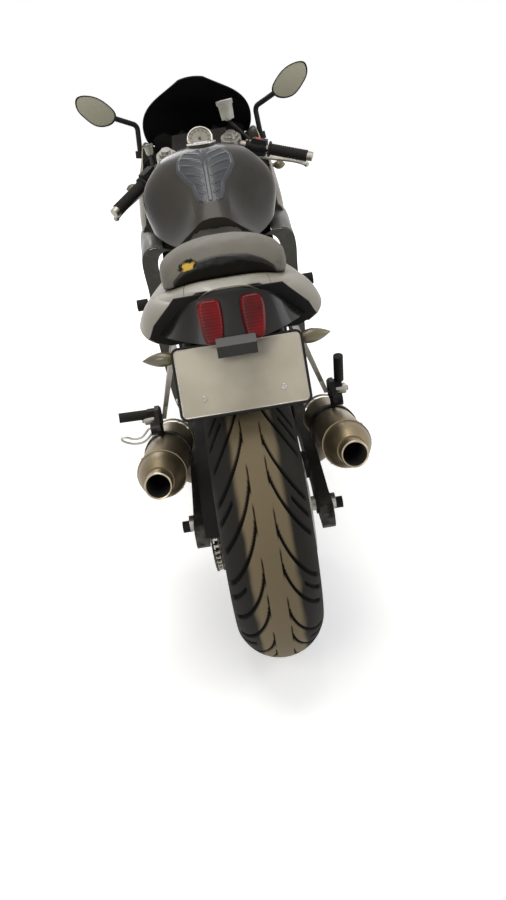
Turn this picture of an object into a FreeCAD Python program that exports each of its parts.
import FreeCAD, Part
import math
import os

# A sport bike, standing on its side stand with the steering turned a little to the left.
# It is built upright first: x to the rider's left, y to the rear, z up, floor at z = 0,
# y = 0 midway between the two axles. The last section leans it over and sets it on the floor.
# All lengths are in millimetres and all angles in degrees.

# Driving dimensions of the whole machine
wheelbase = 1410.0
rake = 24.5
trail = 96.0
lean = 10.0
steering_rest = 12.0
running_gap = 0.3
seam_gap = 0.8
overrun = 4.0
panel_wall = 3.5

# Front wheel
front_tyre_radius = 300.0
front_tyre_width = 120.0
front_crown_radius = 62.0
front_rim_width = 89.0
front_hub_radius = 36.0
front_hub_half = 62.0
front_disc_radius = 155.0

# Rear wheel
rear_tyre_radius = 315.0
rear_tyre_width = 180.0
rear_crown_radius = 95.0
rear_rim_width = 140.0
rear_hub_radius = 46.0
rear_hub_half = 84.0
rear_disc_radius = 110.0
rear_disc_x = -100.0

# Both wheels
bead_radius = 218.0
rim_flange = 14.0
rim_wall = 6.0
rim_well_depth = 16.0
rim_ledge = 14.0
tyre_wall = 11.0
bead_width = 10.0
spoke_count = 5
spoke_root_width = 52.0
spoke_tip_width = 34.0
spoke_root_depth = 46.0
spoke_tip_depth = 34.0
axle_radius = 10.0
disc_thickness = 5.0
disc_band = 36.0
disc_carrier_thickness = 4.0
disc_hole_radius = 3.5
disc_hole_count = 18

# Final drive
chain_pitch = 15.875
chain_line = 108.0
chain_plate_height = 15.0
chain_waist_height = 9.5
chain_plate_thickness = 4.5
chain_inner_gap = 10.0
chain_pin_radius = 4.6
rear_teeth = 42
front_teeth = 16
sprocket_thickness = 6.5
front_sprocket_y = 110.0
front_sprocket_z = 395.0

# Front fork
fork_half_spacing = 103.0
slider_radius = 28.0
stanchion_radius = 21.5
slider_top = 330.0
slider_bottom = 26.0
lower_yoke_at = 482.0
lower_yoke_height = 34.0
upper_yoke_at = 672.0
upper_yoke_height = 28.0
stanchion_top = 757.0
stem_radius = 16.0
head_tube_radius = 38.0
head_bore_radius = 27.0
headlift_bore_radius = 9.0
headlift_bore_depth = 60.0

# Handlebars
clamp_height = 34.0
clamp_radius = 31.0
bar_radius = 11.0
bar_sweep = 28.0
bar_drop = 21.0
clamp_lift = 14.0
grip_start = 118.0
grip_length = 120.0
grip_radius = 17.0
bar_weight_radius = 14.0
bar_weight_length = 16.0
switch_start = 66.0
switch_length = 44.0
switch_radius = 24.0
lever_reach = 52.0
lever_thickness = 11.0
lever_length = 150.0
control_drop = 38.0

# Swingarm and rear axle
pivot_y = 200.0
pivot_z = 378.0
arm_inner = 122.0
arm_outer = 150.0
arm_height = 70.0
arm_end_height = 56.0
arm_end = 78.0
pivot_tube_radius = 24.0
brace_y = 302.0
brace_z = 374.0
brace_radius = 29.0
bobbin_y = 668.0
bobbin_z = 287.0
bobbin_neck_length = 10.0
bobbin_neck_radius = 7.5
bobbin_head_length = 22.0
bobbin_head_radius = 13.0

# Frame, engine and stand
spar_height = 96.0
spar_thickness = 30.0
stand_pivot_x = 112.0
stand_pivot_y = -12.0
stand_pivot_z = 215.0
stand_foot_x = 246.0
stand_foot_y = -92.0
stand_leg_radius = 11.0
stand_foot_radius = 30.0
stand_foot_thickness = 7.0
stand_travel = 106.0

# Silencers
silencer_radius = 48.0
silencer_front_x = 178.0
silencer_front_y = 505.0
silencer_front_z = 434.0
silencer_rear_x = 190.0
silencer_rear_y = 892.0
silencer_rear_z = 513.0
silencer_can_length = 290.0
outlet_radius = 26.0
outlet_bore = 23.5
outlet_length = 34.0
outlet_depth = 90.0
link_pipe_radius = 24.0

# Number plate
plate_width = 240.0
plate_height = 130.0
plate_thickness = 1.6
plate_y = 846.0
plate_z = 690.0
plate_tilt = 26.5
plate_hole_radius = 3.2
plate_hole_spacing = 150.0

front_axle_y = -wheelbase / 2
rear_axle_y = wheelbase / 2
front_axle_z = front_tyre_radius
rear_axle_z = rear_tyre_radius
rake_sin = math.sin(math.radians(rake))
rake_cos = math.cos(math.radians(rake))
fork_offset = front_tyre_radius * rake_sin - trail * rake_cos


def vec(x, y, z):
    return FreeCAD.Vector(x, y, z)


origin = vec(0, 0, 0)
x_axis = vec(1, 0, 0)
y_axis = vec(0, 1, 0)
z_axis = vec(0, 0, 1)
fork_up = vec(0, rake_sin, rake_cos)
fork_back = vec(0, rake_cos, -rake_sin)
front_axle = vec(0, front_axle_y, front_axle_z)
rear_axle = vec(0, rear_axle_y, rear_axle_z)
steering_base = front_axle + fork_back * fork_offset


# Shape helpers, shared by all sub-parts

def mirrored(shape):
    return shape.mirror(origin, x_axis)


def both_sides(shape):
    return Part.makeCompound([shape, mirrored(shape)])


def fused(shapes):
    joined = shapes[0].multiFuse(shapes[1:]) if len(shapes) > 1 else shapes[0]
    return joined.removeSplitter()


def block(x0, x1, y0, y1, z0, z1):
    return Part.makeBox(x1 - x0, y1 - y0, z1 - z0, vec(x0, y0, z0))


def rod(start, end, radius):
    return Part.makeCylinder(radius, (end - start).Length, start, end - start)


def pipe(start, end, radius, bore):
    reach = (end - start).normalize() * overrun
    return rod(start, end, radius).cut(rod(start - reach, end + reach, bore))


def disc(x0, x1, centre, radius):
    return rod(vec(x0, centre.y, centre.z), vec(x1, centre.y, centre.z), radius)


def plate(outline, x0, x1):
    """A flat plate: the outline gives (y, z) points, and x0 and x1 its two faces."""
    points = [vec(x0, y, z) for y, z in outline]
    face = Part.Face(Part.makePolygon(points + points[:1]))
    return face.extrude(vec(x1 - x0, 0, 0))


def turned(edges, centre, angle=360.0):
    """Turns a closed section about the line through centre parallel to x."""
    return Part.Face(Part.Wire(edges)).revolve(centre, x_axis, angle)


def section_points(points, centre):
    """Section points (x, radius) set above the centre, ready to be turned."""
    return [vec(x, centre.y, centre.z + r) for x, r in points]


def polygon_edges(points):
    return Part.makePolygon(points + points[:1]).Edges


def smooth_edge(points):
    curve = Part.BSplineCurve()
    curve.interpolate(points)
    return curve.toShape()


def ring_wire(centre, normal, radius):
    return Part.Wire([Part.makeCircle(radius, centre, normal)])


def loft(wires, ruled=False):
    return Part.makeLoft(wires, True, ruled)


def bent_path(points, bend):
    """A wire through the points, each corner rounded with the bend radius."""
    edges = []
    last = points[0]
    for before, corner, after in zip(points, points[1:], points[2:]):
        into = (corner - before).normalize()
        out = (after - corner).normalize()
        turn = into.getAngle(out)
        setback = bend * math.tan(turn / 2)
        start = corner - into * setback
        end = corner + out * setback
        middle = corner + (out - into).normalize() * (bend / math.cos(turn / 2) - bend)
        edges.append(Part.LineSegment(last, start).toShape())
        edges.append(Part.Arc(start, middle, end).toShape())
        last = end
    edges.append(Part.LineSegment(last, points[-1]).toShape())
    return Part.Wire(edges)


def bent_rod(points, bend, radius):
    path = bent_path(points, bend)
    start = ring_wire(points[0], points[1] - points[0], radius)
    return path.makePipeShell([start], True, False)


def closed_solid(faces):
    shell = Part.makeShell(faces)
    shell.sewShape()
    solid = Part.makeSolid(shell)
    if solid.Volume < 0:
        solid.reverse()
    return solid


def skin(grid):
    surface = Part.BSplineSurface()
    surface.interpolate(grid)
    return surface


def inset_grid(grid, wall):
    """The same grid moved by the wall along the surface's own normals."""
    rows = len(grid)
    columns = len(grid[0])
    moved = []
    for i in range(rows):
        row = []
        for j in range(columns):
            along = grid[min(i + 1, rows - 1)][j] - grid[max(i - 1, 0)][j]
            across = grid[i][min(j + 1, columns - 1)] - grid[i][max(j - 1, 0)]
            row.append(grid[i][j] + along.cross(across).normalize() * wall)
        moved.append(row)
    return moved


def panel(grid, wall):
    """A curved panel of even thickness. A positive wall lies along u cross v."""
    outer = skin(grid)
    inner = skin(inset_grid(grid, wall))
    faces = [outer.toShape(), inner.toShape()]
    ends = []
    for surface in (outer, inner):
        u0, u1, v0, v1 = surface.bounds()
        ends.append([surface.uIso(u0), surface.uIso(u1), surface.vIso(v0), surface.vIso(v1)])
    for one, other in zip(ends[0], ends[1]):
        faces += Part.makeLoft([Part.Wire(one.toShape()), Part.Wire(other.toShape())], False, True).Faces
    return closed_solid(faces)


def front_prism(outline, y0, y1):
    """A cutter with a front-view outline of (x, z) points between two lengths."""
    points = [vec(x, y0, z) for x, z in outline]
    face = Part.Face(Part.makePolygon(points + points[:1]))
    return face.extrude(vec(0, y1 - y0, 0))


# Wheels

def tyre(centre, radius, width, crown, rim_width):
    """A hollow road tyre: crown arc, rounded shoulders, beads inside the rim flanges."""
    half = width / 2
    bead_x = rim_width / 2 - running_gap
    bead_r = bead_radius + running_gap
    flange_r = bead_radius + rim_flange + running_gap
    shoulder = radius - crown + math.sqrt(crown * crown - half * half)
    inner_crown = crown - tyre_wall
    inner_half = half - tyre_wall
    inner_shoulder = radius - crown + math.sqrt(inner_crown * inner_crown - inner_half * inner_half)
    points = {}
    for sign in (-1, 1):
        for name, x, r in (
            ("shoulder", half, shoulder),
            ("flange", bead_x, flange_r + running_gap),
            ("toe", bead_x, bead_r),
            ("heel", bead_x - bead_width, bead_r),
            ("inner_flange", bead_x - bead_width, flange_r),
            ("inner_shoulder", inner_half, inner_shoulder),
        ):
            points[sign, name] = vec(sign * x, centre.y, centre.z + r)
    top = vec(0, centre.y, centre.z + radius)
    inner_top = vec(0, centre.y, centre.z + radius - tyre_wall)
    bulge_share = 0.22
    for sign in (-1, 1):
        for name, start, end in (("side", "shoulder", "flange"), ("inner_side", "inner_shoulder", "inner_flange")):
            chord = points[sign, end] - points[sign, start]
            out = vec(-chord.z, 0, chord.x) * -sign
            points[sign, name] = (points[sign, start] + points[sign, end]) * 0.5 + out * bulge_share
    left = {name: p for (sign, name), p in points.items() if sign == -1}
    right = {name: p for (sign, name), p in points.items() if sign == 1}
    edges = [
        Part.Arc(left["shoulder"], top, right["shoulder"]).toShape(),
        Part.Arc(right["shoulder"], right["side"], right["flange"]).toShape(),
        Part.LineSegment(right["flange"], right["toe"]).toShape(),
        Part.LineSegment(right["toe"], right["heel"]).toShape(),
        Part.LineSegment(right["heel"], right["inner_flange"]).toShape(),
        Part.Arc(right["inner_flange"], right["inner_side"], right["inner_shoulder"]).toShape(),
        Part.Arc(right["inner_shoulder"], inner_top, left["inner_shoulder"]).toShape(),
        Part.Arc(left["inner_shoulder"], left["inner_side"], left["inner_flange"]).toShape(),
        Part.LineSegment(left["inner_flange"], left["heel"]).toShape(),
        Part.LineSegment(left["heel"], left["toe"]).toShape(),
        Part.LineSegment(left["toe"], left["flange"]).toShape(),
        Part.Arc(left["flange"], left["side"], left["shoulder"]).toShape(),
    ]
    return turned(edges, centre)


def rim_band(centre, rim_width):
    half = rim_width / 2
    outer = half + rim_wall
    well = half - 2 * rim_ledge
    profile = [
        (-outer, bead_radius + rim_flange),
        (-half, bead_radius + rim_flange),
        (-half, bead_radius),
        (-half + rim_ledge, bead_radius - rim_wall),
        (-well, bead_radius - rim_well_depth),
        (well, bead_radius - rim_well_depth),
        (half - rim_ledge, bead_radius - rim_wall),
        (half, bead_radius),
        (half, bead_radius + rim_flange),
        (outer, bead_radius + rim_flange),
        (outer, bead_radius - rim_wall),
        (well + rim_wall, bead_radius - rim_well_depth - rim_wall),
        (-well - rim_wall, bead_radius - rim_well_depth - rim_wall),
        (-outer, bead_radius - rim_wall),
    ]
    return turned(polygon_edges(section_points(profile, centre)), centre)


def spoke(centre, hub_radius, angle):
    """One cast spoke, wide at the hub and waisted towards the rim."""
    root = hub_radius - overrun
    tip = bead_radius - rim_well_depth - rim_wall / 2
    waist = (root + tip) / 2
    waist_share = 0.86
    stations = (
        (root, spoke_root_width, spoke_root_depth),
        (waist, spoke_root_width * waist_share * spoke_tip_width / spoke_root_width, spoke_tip_depth),
        (tip, spoke_tip_width, spoke_tip_depth),
    )
    wires = []
    for radius, width, depth in stations:
        corners = [
            vec(sx * depth / 2, centre.y + sy * width / 2, centre.z + radius)
            for sx, sy in ((-1, -1), (1, -1), (1, 1), (-1, 1))
        ]
        wires.append(Part.makePolygon(corners + corners[:1]))
    blade = loft(wires)
    blade.rotate(centre, x_axis, angle)
    return blade


def cast_wheel(centre, rim_width, hub_radius, hub_half):
    wheel = rim_band(centre, rim_width).fuse(disc(-hub_half, hub_half, centre, hub_radius))
    for k in range(spoke_count):
        wheel = wheel.fuse(spoke(centre, hub_radius, 360.0 * k / spoke_count))
    bore = disc(-hub_half - overrun, hub_half + overrun, centre, axle_radius + running_gap)
    return wheel.removeSplitter().cut(bore)


def brake_disc(centre, x, radius, carrier_bore, carrier_from):
    """A drilled steel band on a spoked carrier that bolts to the hub."""
    band = disc(x - disc_thickness / 2, x + disc_thickness / 2, centre, radius)
    band = band.cut(disc(x - disc_thickness, x + disc_thickness, centre, radius - disc_band))
    holes = []
    rows = (radius - disc_band / 3, radius - disc_band * 2 / 3)
    for row, hole_r in enumerate(rows):
        for k in range(disc_hole_count):
            turn = math.radians((k + row / 2) * 360.0 / disc_hole_count)
            at = vec(0, centre.y + hole_r * math.cos(turn), centre.z + hole_r * math.sin(turn))
            holes.append(disc(x - disc_thickness, x + disc_thickness, at, disc_hole_radius))
    band = band.cut(Part.makeCompound(holes))
    low = min(carrier_from, x)
    high = max(carrier_from, x)
    carrier = disc(low, high, centre, radius - disc_band + disc_carrier_thickness)
    carrier = carrier.cut(disc(low - overrun, high + overrun, centre, carrier_bore))
    arms = 5
    window = (radius - disc_band - carrier_bore) / 3
    mid = carrier_bore + (radius - disc_band - carrier_bore) / 2
    for k in range(arms):
        turn = math.radians(360.0 * k / arms)
        at = vec(0, centre.y + mid * math.cos(turn), centre.z + mid * math.sin(turn))
        carrier = carrier.cut(disc(low - overrun, high + overrun, at, window))
    return fused([band, carrier])


def front_discs():
    x = front_hub_half + disc_carrier_thickness
    one = brake_disc(front_axle, x, front_disc_radius, axle_radius + bead_width, front_hub_half)
    return both_sides(one)


def rear_disc():
    x = rear_disc_x
    return brake_disc(rear_axle, x, rear_disc_radius, axle_radius + bead_width, -rear_hub_half)


def rear_sprocket():
    """The toothed ring and the drive carrier behind it, bolted to the hub's left end."""
    pitch_r = chain_pitch / (2 * math.sin(math.pi / rear_teeth))
    root_share = 0.32
    tip_share = 0.26
    root_r = pitch_r - chain_pitch * root_share
    tip_r = pitch_r + chain_pitch * tip_share
    outline = []
    tooth_angle = 2 * math.pi / rear_teeth
    for k in range(rear_teeth):
        for shift_share, r in ((-0.36, root_r), (-0.14, tip_r), (0.14, tip_r), (0.36, root_r)):
            a = (k + shift_share) * tooth_angle
            outline.append((rear_axle.y + r * math.cos(a), rear_axle.z + r * math.sin(a)))
    ring = plate(outline, chain_line - sprocket_thickness / 2, chain_line + sprocket_thickness / 2)
    holes = 6
    hole_share = 0.70
    for k in range(holes):
        a = 2 * math.pi * k / holes
        at = vec(0, rear_axle.y + pitch_r * hole_share * math.cos(a), rear_axle.z + pitch_r * hole_share * math.sin(a))
        ring = ring.cut(disc(chain_line - sprocket_thickness, chain_line + sprocket_thickness, at, chain_pitch))
    carrier = disc(rear_hub_half, chain_line, rear_axle, rear_hub_radius)
    bore = disc(rear_hub_half - overrun, chain_line + sprocket_thickness, rear_axle, axle_radius + bead_width)
    return fused([ring, carrier]).cut(bore)


# Chain

def chain_loop():
    """Two rows of waisted plates round both sprockets, joined by pins on the straight runs."""
    rear_r = chain_pitch / (2 * math.sin(math.pi / rear_teeth))
    front_r = chain_pitch / (2 * math.sin(math.pi / front_teeth))
    front = vec(0, front_sprocket_y, front_sprocket_z)
    span = (rear_axle - front).Length
    slope = math.atan2(rear_axle.z - front.z, rear_axle.y - front.y)
    flare = math.asin((rear_r - front_r) / span)
    run = span * math.cos(flare)
    rear_arc = rear_r * (math.pi + 2 * flare)
    front_arc = front_r * (math.pi - 2 * flare)
    whole = 2 * run + rear_arc + front_arc
    links = int(round(whole / chain_pitch))
    step = whole / links

    def at(s):
        """Point on the pitch line and its outward direction, s along the loop."""
        s = s % whole
        if s < run:
            a = slope + math.pi / 2 + flare
            out = (math.cos(a), math.sin(a))
            along = (math.sin(a), -math.cos(a))
            base = (front.y + front_r * out[0], front.z + front_r * out[1])
            return (base[0] + along[0] * s, base[1] + along[1] * s), out
        s -= run
        if s < rear_arc:
            a = slope + math.pi / 2 + flare - s / rear_r
            out = (math.cos(a), math.sin(a))
            return (rear_axle.y + rear_r * out[0], rear_axle.z + rear_r * out[1]), out
        s -= rear_arc
        if s < run:
            a = slope - math.pi / 2 - flare
            out = (math.cos(a), math.sin(a))
            along = (math.sin(a), -math.cos(a))
            base = (rear_axle.y + rear_r * out[0], rear_axle.z + rear_r * out[1])
            return (base[0] + along[0] * s, base[1] + along[1] * s), out
        s -= run
        a = slope - math.pi / 2 - flare - s / front_r
        out = (math.cos(a), math.sin(a))
        return (front.y + front_r * out[0], front.z + front_r * out[1]), out

    outer_line = []
    inner_line = []
    shoulder_share = 0.24
    for k in range(links):
        for share, height in (
            (-shoulder_share, chain_plate_height),
            (shoulder_share, chain_plate_height),
            (0.5, chain_waist_height),
        ):
            point, out = at((k + share) * step)
            half = height / 2
            outer_line.append((point[0] + out[0] * half, point[1] + out[1] * half))
            inner_line.append((point[0] - out[0] * half, point[1] - out[1] * half))
    rows = []
    for side in (-1, 1):
        x0 = chain_line + side * chain_inner_gap / 2
        x1 = x0 + side * chain_plate_thickness
        outer = Part.Wire(Part.makePolygon([vec(x0, y, z) for y, z in outer_line + outer_line[:1]]))
        inner = Part.Wire(Part.makePolygon([vec(x0, y, z) for y, z in inner_line + inner_line[:1]]))
        face = Part.Face(outer).cut(Part.Face(inner))
        rows.append(face.extrude(vec(x1 - x0, 0, 0)))
    pins = []
    reach = chain_inner_gap / 2 + chain_plate_thickness / 2
    tooth_room = rear_r / 3
    for k in range(links):
        s = k * step
        point = at(s)[0]
        if math.hypot(point[0] - rear_axle.y, point[1] - rear_axle.z) > rear_r + tooth_room:
            sides = 6
            hexagon = []
            for n in range(sides):
                a = 2 * math.pi * n / sides
                hexagon.append((point[0] + chain_pin_radius * math.cos(a), point[1] + chain_pin_radius * math.sin(a)))
            pins.append(plate(hexagon, chain_line - reach, chain_line + reach))
    loop = rows[0].multiFuse([rows[1]] + pins)
    return loop


def front_sprocket_cover():
    """A cast cover over the output sprocket, open at the back where the chain leaves."""
    centre = vec(0, front_sprocket_y, front_sprocket_z)
    cover_radius = 62.0
    cover_wall = 4.0
    cover_inner = engine_half_width
    cover_outer = frame_plate_inner - running_gap
    shell = disc(cover_inner, cover_outer, centre, cover_radius)
    room = disc(cover_inner - overrun, cover_outer - cover_wall, centre, cover_radius - cover_wall)
    gate = block(
        cover_inner - overrun, cover_outer - cover_wall,
        centre.y, centre.y + cover_radius * 2,
        centre.z - cover_radius + cover_wall, centre.z + cover_radius - cover_wall,
    )
    return shell.cut(room).cut(gate)


def sprocket_and_shaft():
    centre = vec(0, front_sprocket_y, front_sprocket_z)
    front_r = chain_pitch / (2 * math.sin(math.pi / front_teeth))
    body = disc(chain_line - sprocket_thickness / 2, chain_line + sprocket_thickness / 2, centre,
                front_r - chain_pin_radius - running_gap)
    shaft = disc(engine_half_width, chain_line + sprocket_thickness, centre, axle_radius)
    return fused([body, shaft])


# Front fork, yokes and axle

def fork_point(side, up, back=0.0):
    """A point in a fork leg's own frame: up the leg from the axle, and back from it."""
    at = front_axle + fork_up * up + fork_back * back
    return vec(side * fork_half_spacing, at.y, at.z)


def caliper_frame(centre, angle, radial, tangential):
    a = math.radians(angle)
    return (
        centre.y + radial * math.cos(a) - tangential * math.sin(a),
        centre.z + radial * math.sin(a) + tangential * math.cos(a),
    )


def caliper(centre, angle, disc_x, disc_r, inner_x, outer_x, half_length, depth):
    """A block over the disc's rim, with a slot for the disc and rounded piston housings."""
    pad_gap = 2.0
    bridge = 14.0
    low = disc_r - depth
    high = disc_r + bridge
    corner = half_length / 3

    def spot(radial, tangential):
        return caliper_frame(centre, angle, radial, tangential)

    outline = [
        spot(low, -half_length + corner),
        spot(low, half_length - corner),
        spot(low + corner, half_length),
        spot(high - corner, half_length),
        spot(high, half_length - corner),
        spot(high, -half_length + corner),
        spot(high - corner, -half_length),
        spot(low + corner, -half_length),
    ]
    body = plate(outline, inner_x, outer_x)
    slot_half = disc_thickness / 2 + pad_gap
    slot = disc(disc_x - slot_half, disc_x + slot_half, centre, disc_r + pad_gap)
    return body.cut(slot)


front_caliper_angle = 8.0
front_caliper_half = 50.0
front_caliper_depth = 52.0
front_caliper_inner = 48.0
front_caliper_outer = 92.0


def front_caliper():
    x = front_hub_half + disc_carrier_thickness
    return caliper(front_axle, front_caliper_angle, x, front_disc_radius,
                   front_caliper_inner, front_caliper_outer, front_caliper_half, front_caliper_depth)


def fork_slider():
    leg = rod(fork_point(1, -slider_bottom), fork_point(1, slider_top), slider_radius)
    seal_height = 16.0
    seal = rod(fork_point(1, slider_top - seal_height), fork_point(1, slider_top), slider_radius + rim_wall / 2)
    lug_radius = 25.0
    lug = disc(fork_half_spacing - slider_radius, fork_half_spacing + slider_radius, front_axle, lug_radius)
    lug_inner = front_caliper_outer
    lug_outer = front_caliper_outer + chain_pin_radius * 2
    ear = [
        caliper_frame(front_axle, front_caliper_angle, front_disc_radius - front_caliper_depth / 2,
                      front_caliper_half * share)
        for share in (-0.7, 0.7)
    ]
    leg_low = fork_point(1, front_disc_radius / 3)
    leg_high = fork_point(1, front_disc_radius)
    bracket = plate([(leg_low.y, leg_low.z), ear[0], ear[1], (leg_high.y, leg_high.z)], lug_inner, lug_outer)
    bore = disc(fork_half_spacing - slider_radius * 2, fork_half_spacing + slider_radius * 2,
                front_axle, axle_radius)
    return fused([leg, seal, lug, bracket]).cut(bore)


def fork_tube():
    cap_height = 8.0
    tube = rod(fork_point(1, slider_top), fork_point(1, stanchion_top), stanchion_radius)
    cap = rod(fork_point(1, stanchion_top), fork_point(1, stanchion_top + cap_height), stanchion_radius * 2 / 3)
    return fused([tube, cap])


def yoke_plate(start, height, ear_radius, hub_radius):
    """A fork yoke: two clamping ears and a web that reaches back to the stem."""
    pieces = []
    for side in (-1, 1):
        pieces.append(rod(fork_point(side, start), fork_point(side, start + height), ear_radius))
    hub_low = steering_base + fork_up * start
    hub_high = steering_base + fork_up * (start + height)
    pieces.append(rod(hub_low, hub_high, hub_radius))
    ear = fork_half_spacing
    web_front = -ear_radius / 2
    corners = [
        (-ear, web_front), (ear, web_front), (ear, ear_radius * 2 / 3),
        (hub_radius, fork_offset + hub_radius * 2 / 3), (-hub_radius, fork_offset + hub_radius * 2 / 3),
        (-ear, ear_radius * 2 / 3),
    ]
    base = front_axle + fork_up * start
    points = [vec(x, 0, 0) + base + fork_back * back for x, back in corners]
    web = Part.Face(Part.makePolygon(points + points[:1])).extrude(fork_up * height)
    pieces.append(web)
    yoke = fused(pieces)
    for side in (-1, 1):
        yoke = yoke.cut(rod(fork_point(side, start - overrun), fork_point(side, start + height + overrun),
                            stanchion_radius + running_gap / 2))
    return yoke


def lower_yoke():
    """The lower yoke carries the stem, its two bearing cones and the paddock-stand hole."""
    yoke = yoke_plate(lower_yoke_at, lower_yoke_height, clamp_radius, head_tube_radius)
    base = steering_base
    top = upper_yoke_at
    stem = rod(base + fork_up * lower_yoke_at, base + fork_up * top, stem_radius)
    cones = []
    cone_radius = head_bore_radius - running_gap
    for start, end in (
        (lower_yoke_at + lower_yoke_height, head_tube_low + bearing_height),
        (head_tube_high - bearing_height, head_tube_high),
    ):
        cones.append(rod(base + fork_up * start, base + fork_up * end, cone_radius))
    bore = rod(base + fork_up * (lower_yoke_at - overrun), base + fork_up * (lower_yoke_at + headlift_bore_depth),
               headlift_bore_radius)
    return fused([yoke, stem] + cones).cut(bore)


def upper_yoke():
    nut_radius = 20.0
    nut_height = 10.0
    yoke = yoke_plate(upper_yoke_at, upper_yoke_height, clamp_radius, head_tube_radius - rim_wall)
    high = steering_base + fork_up * (upper_yoke_at + upper_yoke_height)
    nut = rod(high, high + fork_up * nut_height, nut_radius)
    return fused([yoke, nut])


yoke_to_head_gap = 12.0
bearing_height = 16.0
head_tube_low = lower_yoke_at + lower_yoke_height + yoke_to_head_gap
head_tube_high = upper_yoke_at - yoke_to_head_gap


# Handlebars and controls

clip_on_at = upper_yoke_at + upper_yoke_height + clamp_lift
bar_height_share = 0.5
bar_origin = fork_point(1, clip_on_at + clamp_height * bar_height_share)
bar_along = vec(
    math.cos(math.radians(bar_drop)) * math.cos(math.radians(bar_sweep)),
    math.cos(math.radians(bar_drop)) * math.sin(math.radians(bar_sweep)),
    -math.sin(math.radians(bar_drop)),
)
bar_forward = bar_along.cross(z_axis).normalize()
if bar_forward.y > 0:
    bar_forward = bar_forward * -1
bar_up = bar_along.cross(bar_forward).normalize()
if bar_up.z < 0:
    bar_up = bar_up * -1


def bar_point(along, forward=0.0, up=0.0):
    """A point beside the left bar: along it from the clamp, ahead of it and above it."""
    return bar_origin + bar_along * along + bar_forward * forward + bar_up * up


def control_point(along, reach, off=0.0):
    """A point beside the left bar, in the plane of the lever, which slopes down ahead of it."""
    turn = math.radians(control_drop)
    forward = reach * math.cos(turn) + off * math.sin(turn)
    return bar_point(along, forward, off * math.cos(turn) - reach * math.sin(turn))


def clip_on():
    low = fork_point(1, clip_on_at)
    high = fork_point(1, clip_on_at + clamp_height)
    ring = rod(low, high, clamp_radius)
    bar = rod(bar_point(stanchion_radius), bar_point(grip_start + grip_length), bar_radius)
    hole = rod(low - fork_up * overrun, high + fork_up * overrun, stanchion_radius + running_gap / 2)
    return fused([ring, bar]).cut(hole)


def grip():
    flange_radius = grip_radius + rim_wall
    flange = 5.0
    start = grip_start
    end = grip_start + grip_length
    sleeve = rod(bar_point(start), bar_point(end - running_gap), grip_radius)
    collar = rod(bar_point(start), bar_point(start + flange), flange_radius)
    bore = rod(bar_point(start - overrun), bar_point(end + overrun), bar_radius + running_gap / 2)
    return fused([sleeve, collar]).cut(bore)


def bar_weight():
    end = grip_start + grip_length
    return rod(bar_point(end), bar_point(end + bar_weight_length), bar_weight_radius)


def switch_housing():
    end = switch_start + switch_length
    body = rod(bar_point(switch_start), bar_point(end), switch_radius)
    lip = switch_radius * 0.9
    pod = []
    for along in (switch_start, end):
        corners = [(-lip, -lip), (lip / 2, -lip), (lip / 2, lip * 1.2), (-lip, lip * 1.2)]
        points = [bar_point(along, f, u) for f, u in corners]
        pod.append(Part.makePolygon(points + points[:1]))
    hole = rod(bar_point(switch_start - overrun), bar_point(end + overrun), bar_radius + running_gap / 2)
    return fused([body, loft(pod, True)]).cut(hole)


lever_pivot_along = 62.0
cylinder_share = 0.62


def master_cylinder():
    """The cylinder ahead of the bar, clamped to it, with the lever's pivot lugs."""
    forward = lever_reach * cylinder_share
    cylinder_radius = lever_reach - lever_thickness / 2 - forward - running_gap
    clamp_width = 18.0
    clamp_start = switch_start - clamp_width - running_gap
    body = rod(control_point(clamp_start, forward),
               control_point(switch_start + clamp_width, forward), cylinder_radius)
    clamp = rod(bar_point(clamp_start), bar_point(clamp_start + clamp_width), bar_radius + rim_wall)
    neck = []
    half = bar_radius - running_gap
    for f in (0, forward):
        points = [
            control_point(clamp_start + a, f, u)
            for a, u in ((0, -half), (clamp_width, -half), (clamp_width, half), (0, half))
        ]
        neck.append(Part.makePolygon(points + points[:1]))
    hole = rod(bar_point(clamp_start - overrun), bar_point(clamp_start + clamp_width + overrun),
               bar_radius + running_gap / 2)
    return fused([body, clamp, loft(neck, True)]).cut(hole)


def lever():
    """A flat curved blade that follows the grip and ends in a ball."""
    ball = 8.5
    start = lever_pivot_along + switch_start / 3
    line = [
        (start, lever_reach), (start + lever_length / 5, lever_reach * 1.05),
        (start + lever_length * 3 / 5, lever_reach * 0.86), (start + lever_length, lever_reach * 1.04),
    ]
    half = lever_thickness / 2
    front_edge = [control_point(a, f + half, -half) for a, f in line]
    back_edge = [control_point(a, f - half, -half) for a, f in line]
    edges = [
        smooth_edge(front_edge), Part.LineSegment(front_edge[-1], back_edge[-1]).toShape(),
        smooth_edge(back_edge[::-1]), Part.LineSegment(back_edge[0], front_edge[0]).toShape(),
    ]
    thickness = control_point(0, 0, lever_thickness) - control_point(0, 0)
    blade = Part.Face(Part.Wire(edges)).extrude(thickness)
    tip = Part.makeSphere(ball, control_point(line[-1][0], line[-1][1]))
    return fused([blade, tip])


brake_pot = {"radius": 22.5, "height": 42.0, "cap": 12.0, "along": -24.0, "forward": 24.0, "up": 60.0}
clutch_pot = {"radius": 13.0, "height": 20.0, "cap": 7.0, "along": 12.0, "forward": 46.0, "up": 34.0}


def pot_foot(pot):
    return bar_point(pot["along"], pot["forward"], pot["up"])


def reservoir(pot):
    """A round fluid pot, a little narrower at its foot, with a flat cap."""
    foot_share = 0.86
    foot = pot_foot(pot)
    top = foot + z_axis * pot["height"]
    body = Part.makeCone(pot["radius"] * foot_share, pot["radius"], pot["height"], foot, z_axis)
    cap = rod(top, top + z_axis * pot["cap"], pot["radius"] + rim_wall / 2)
    return fused([body, cap])


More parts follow.
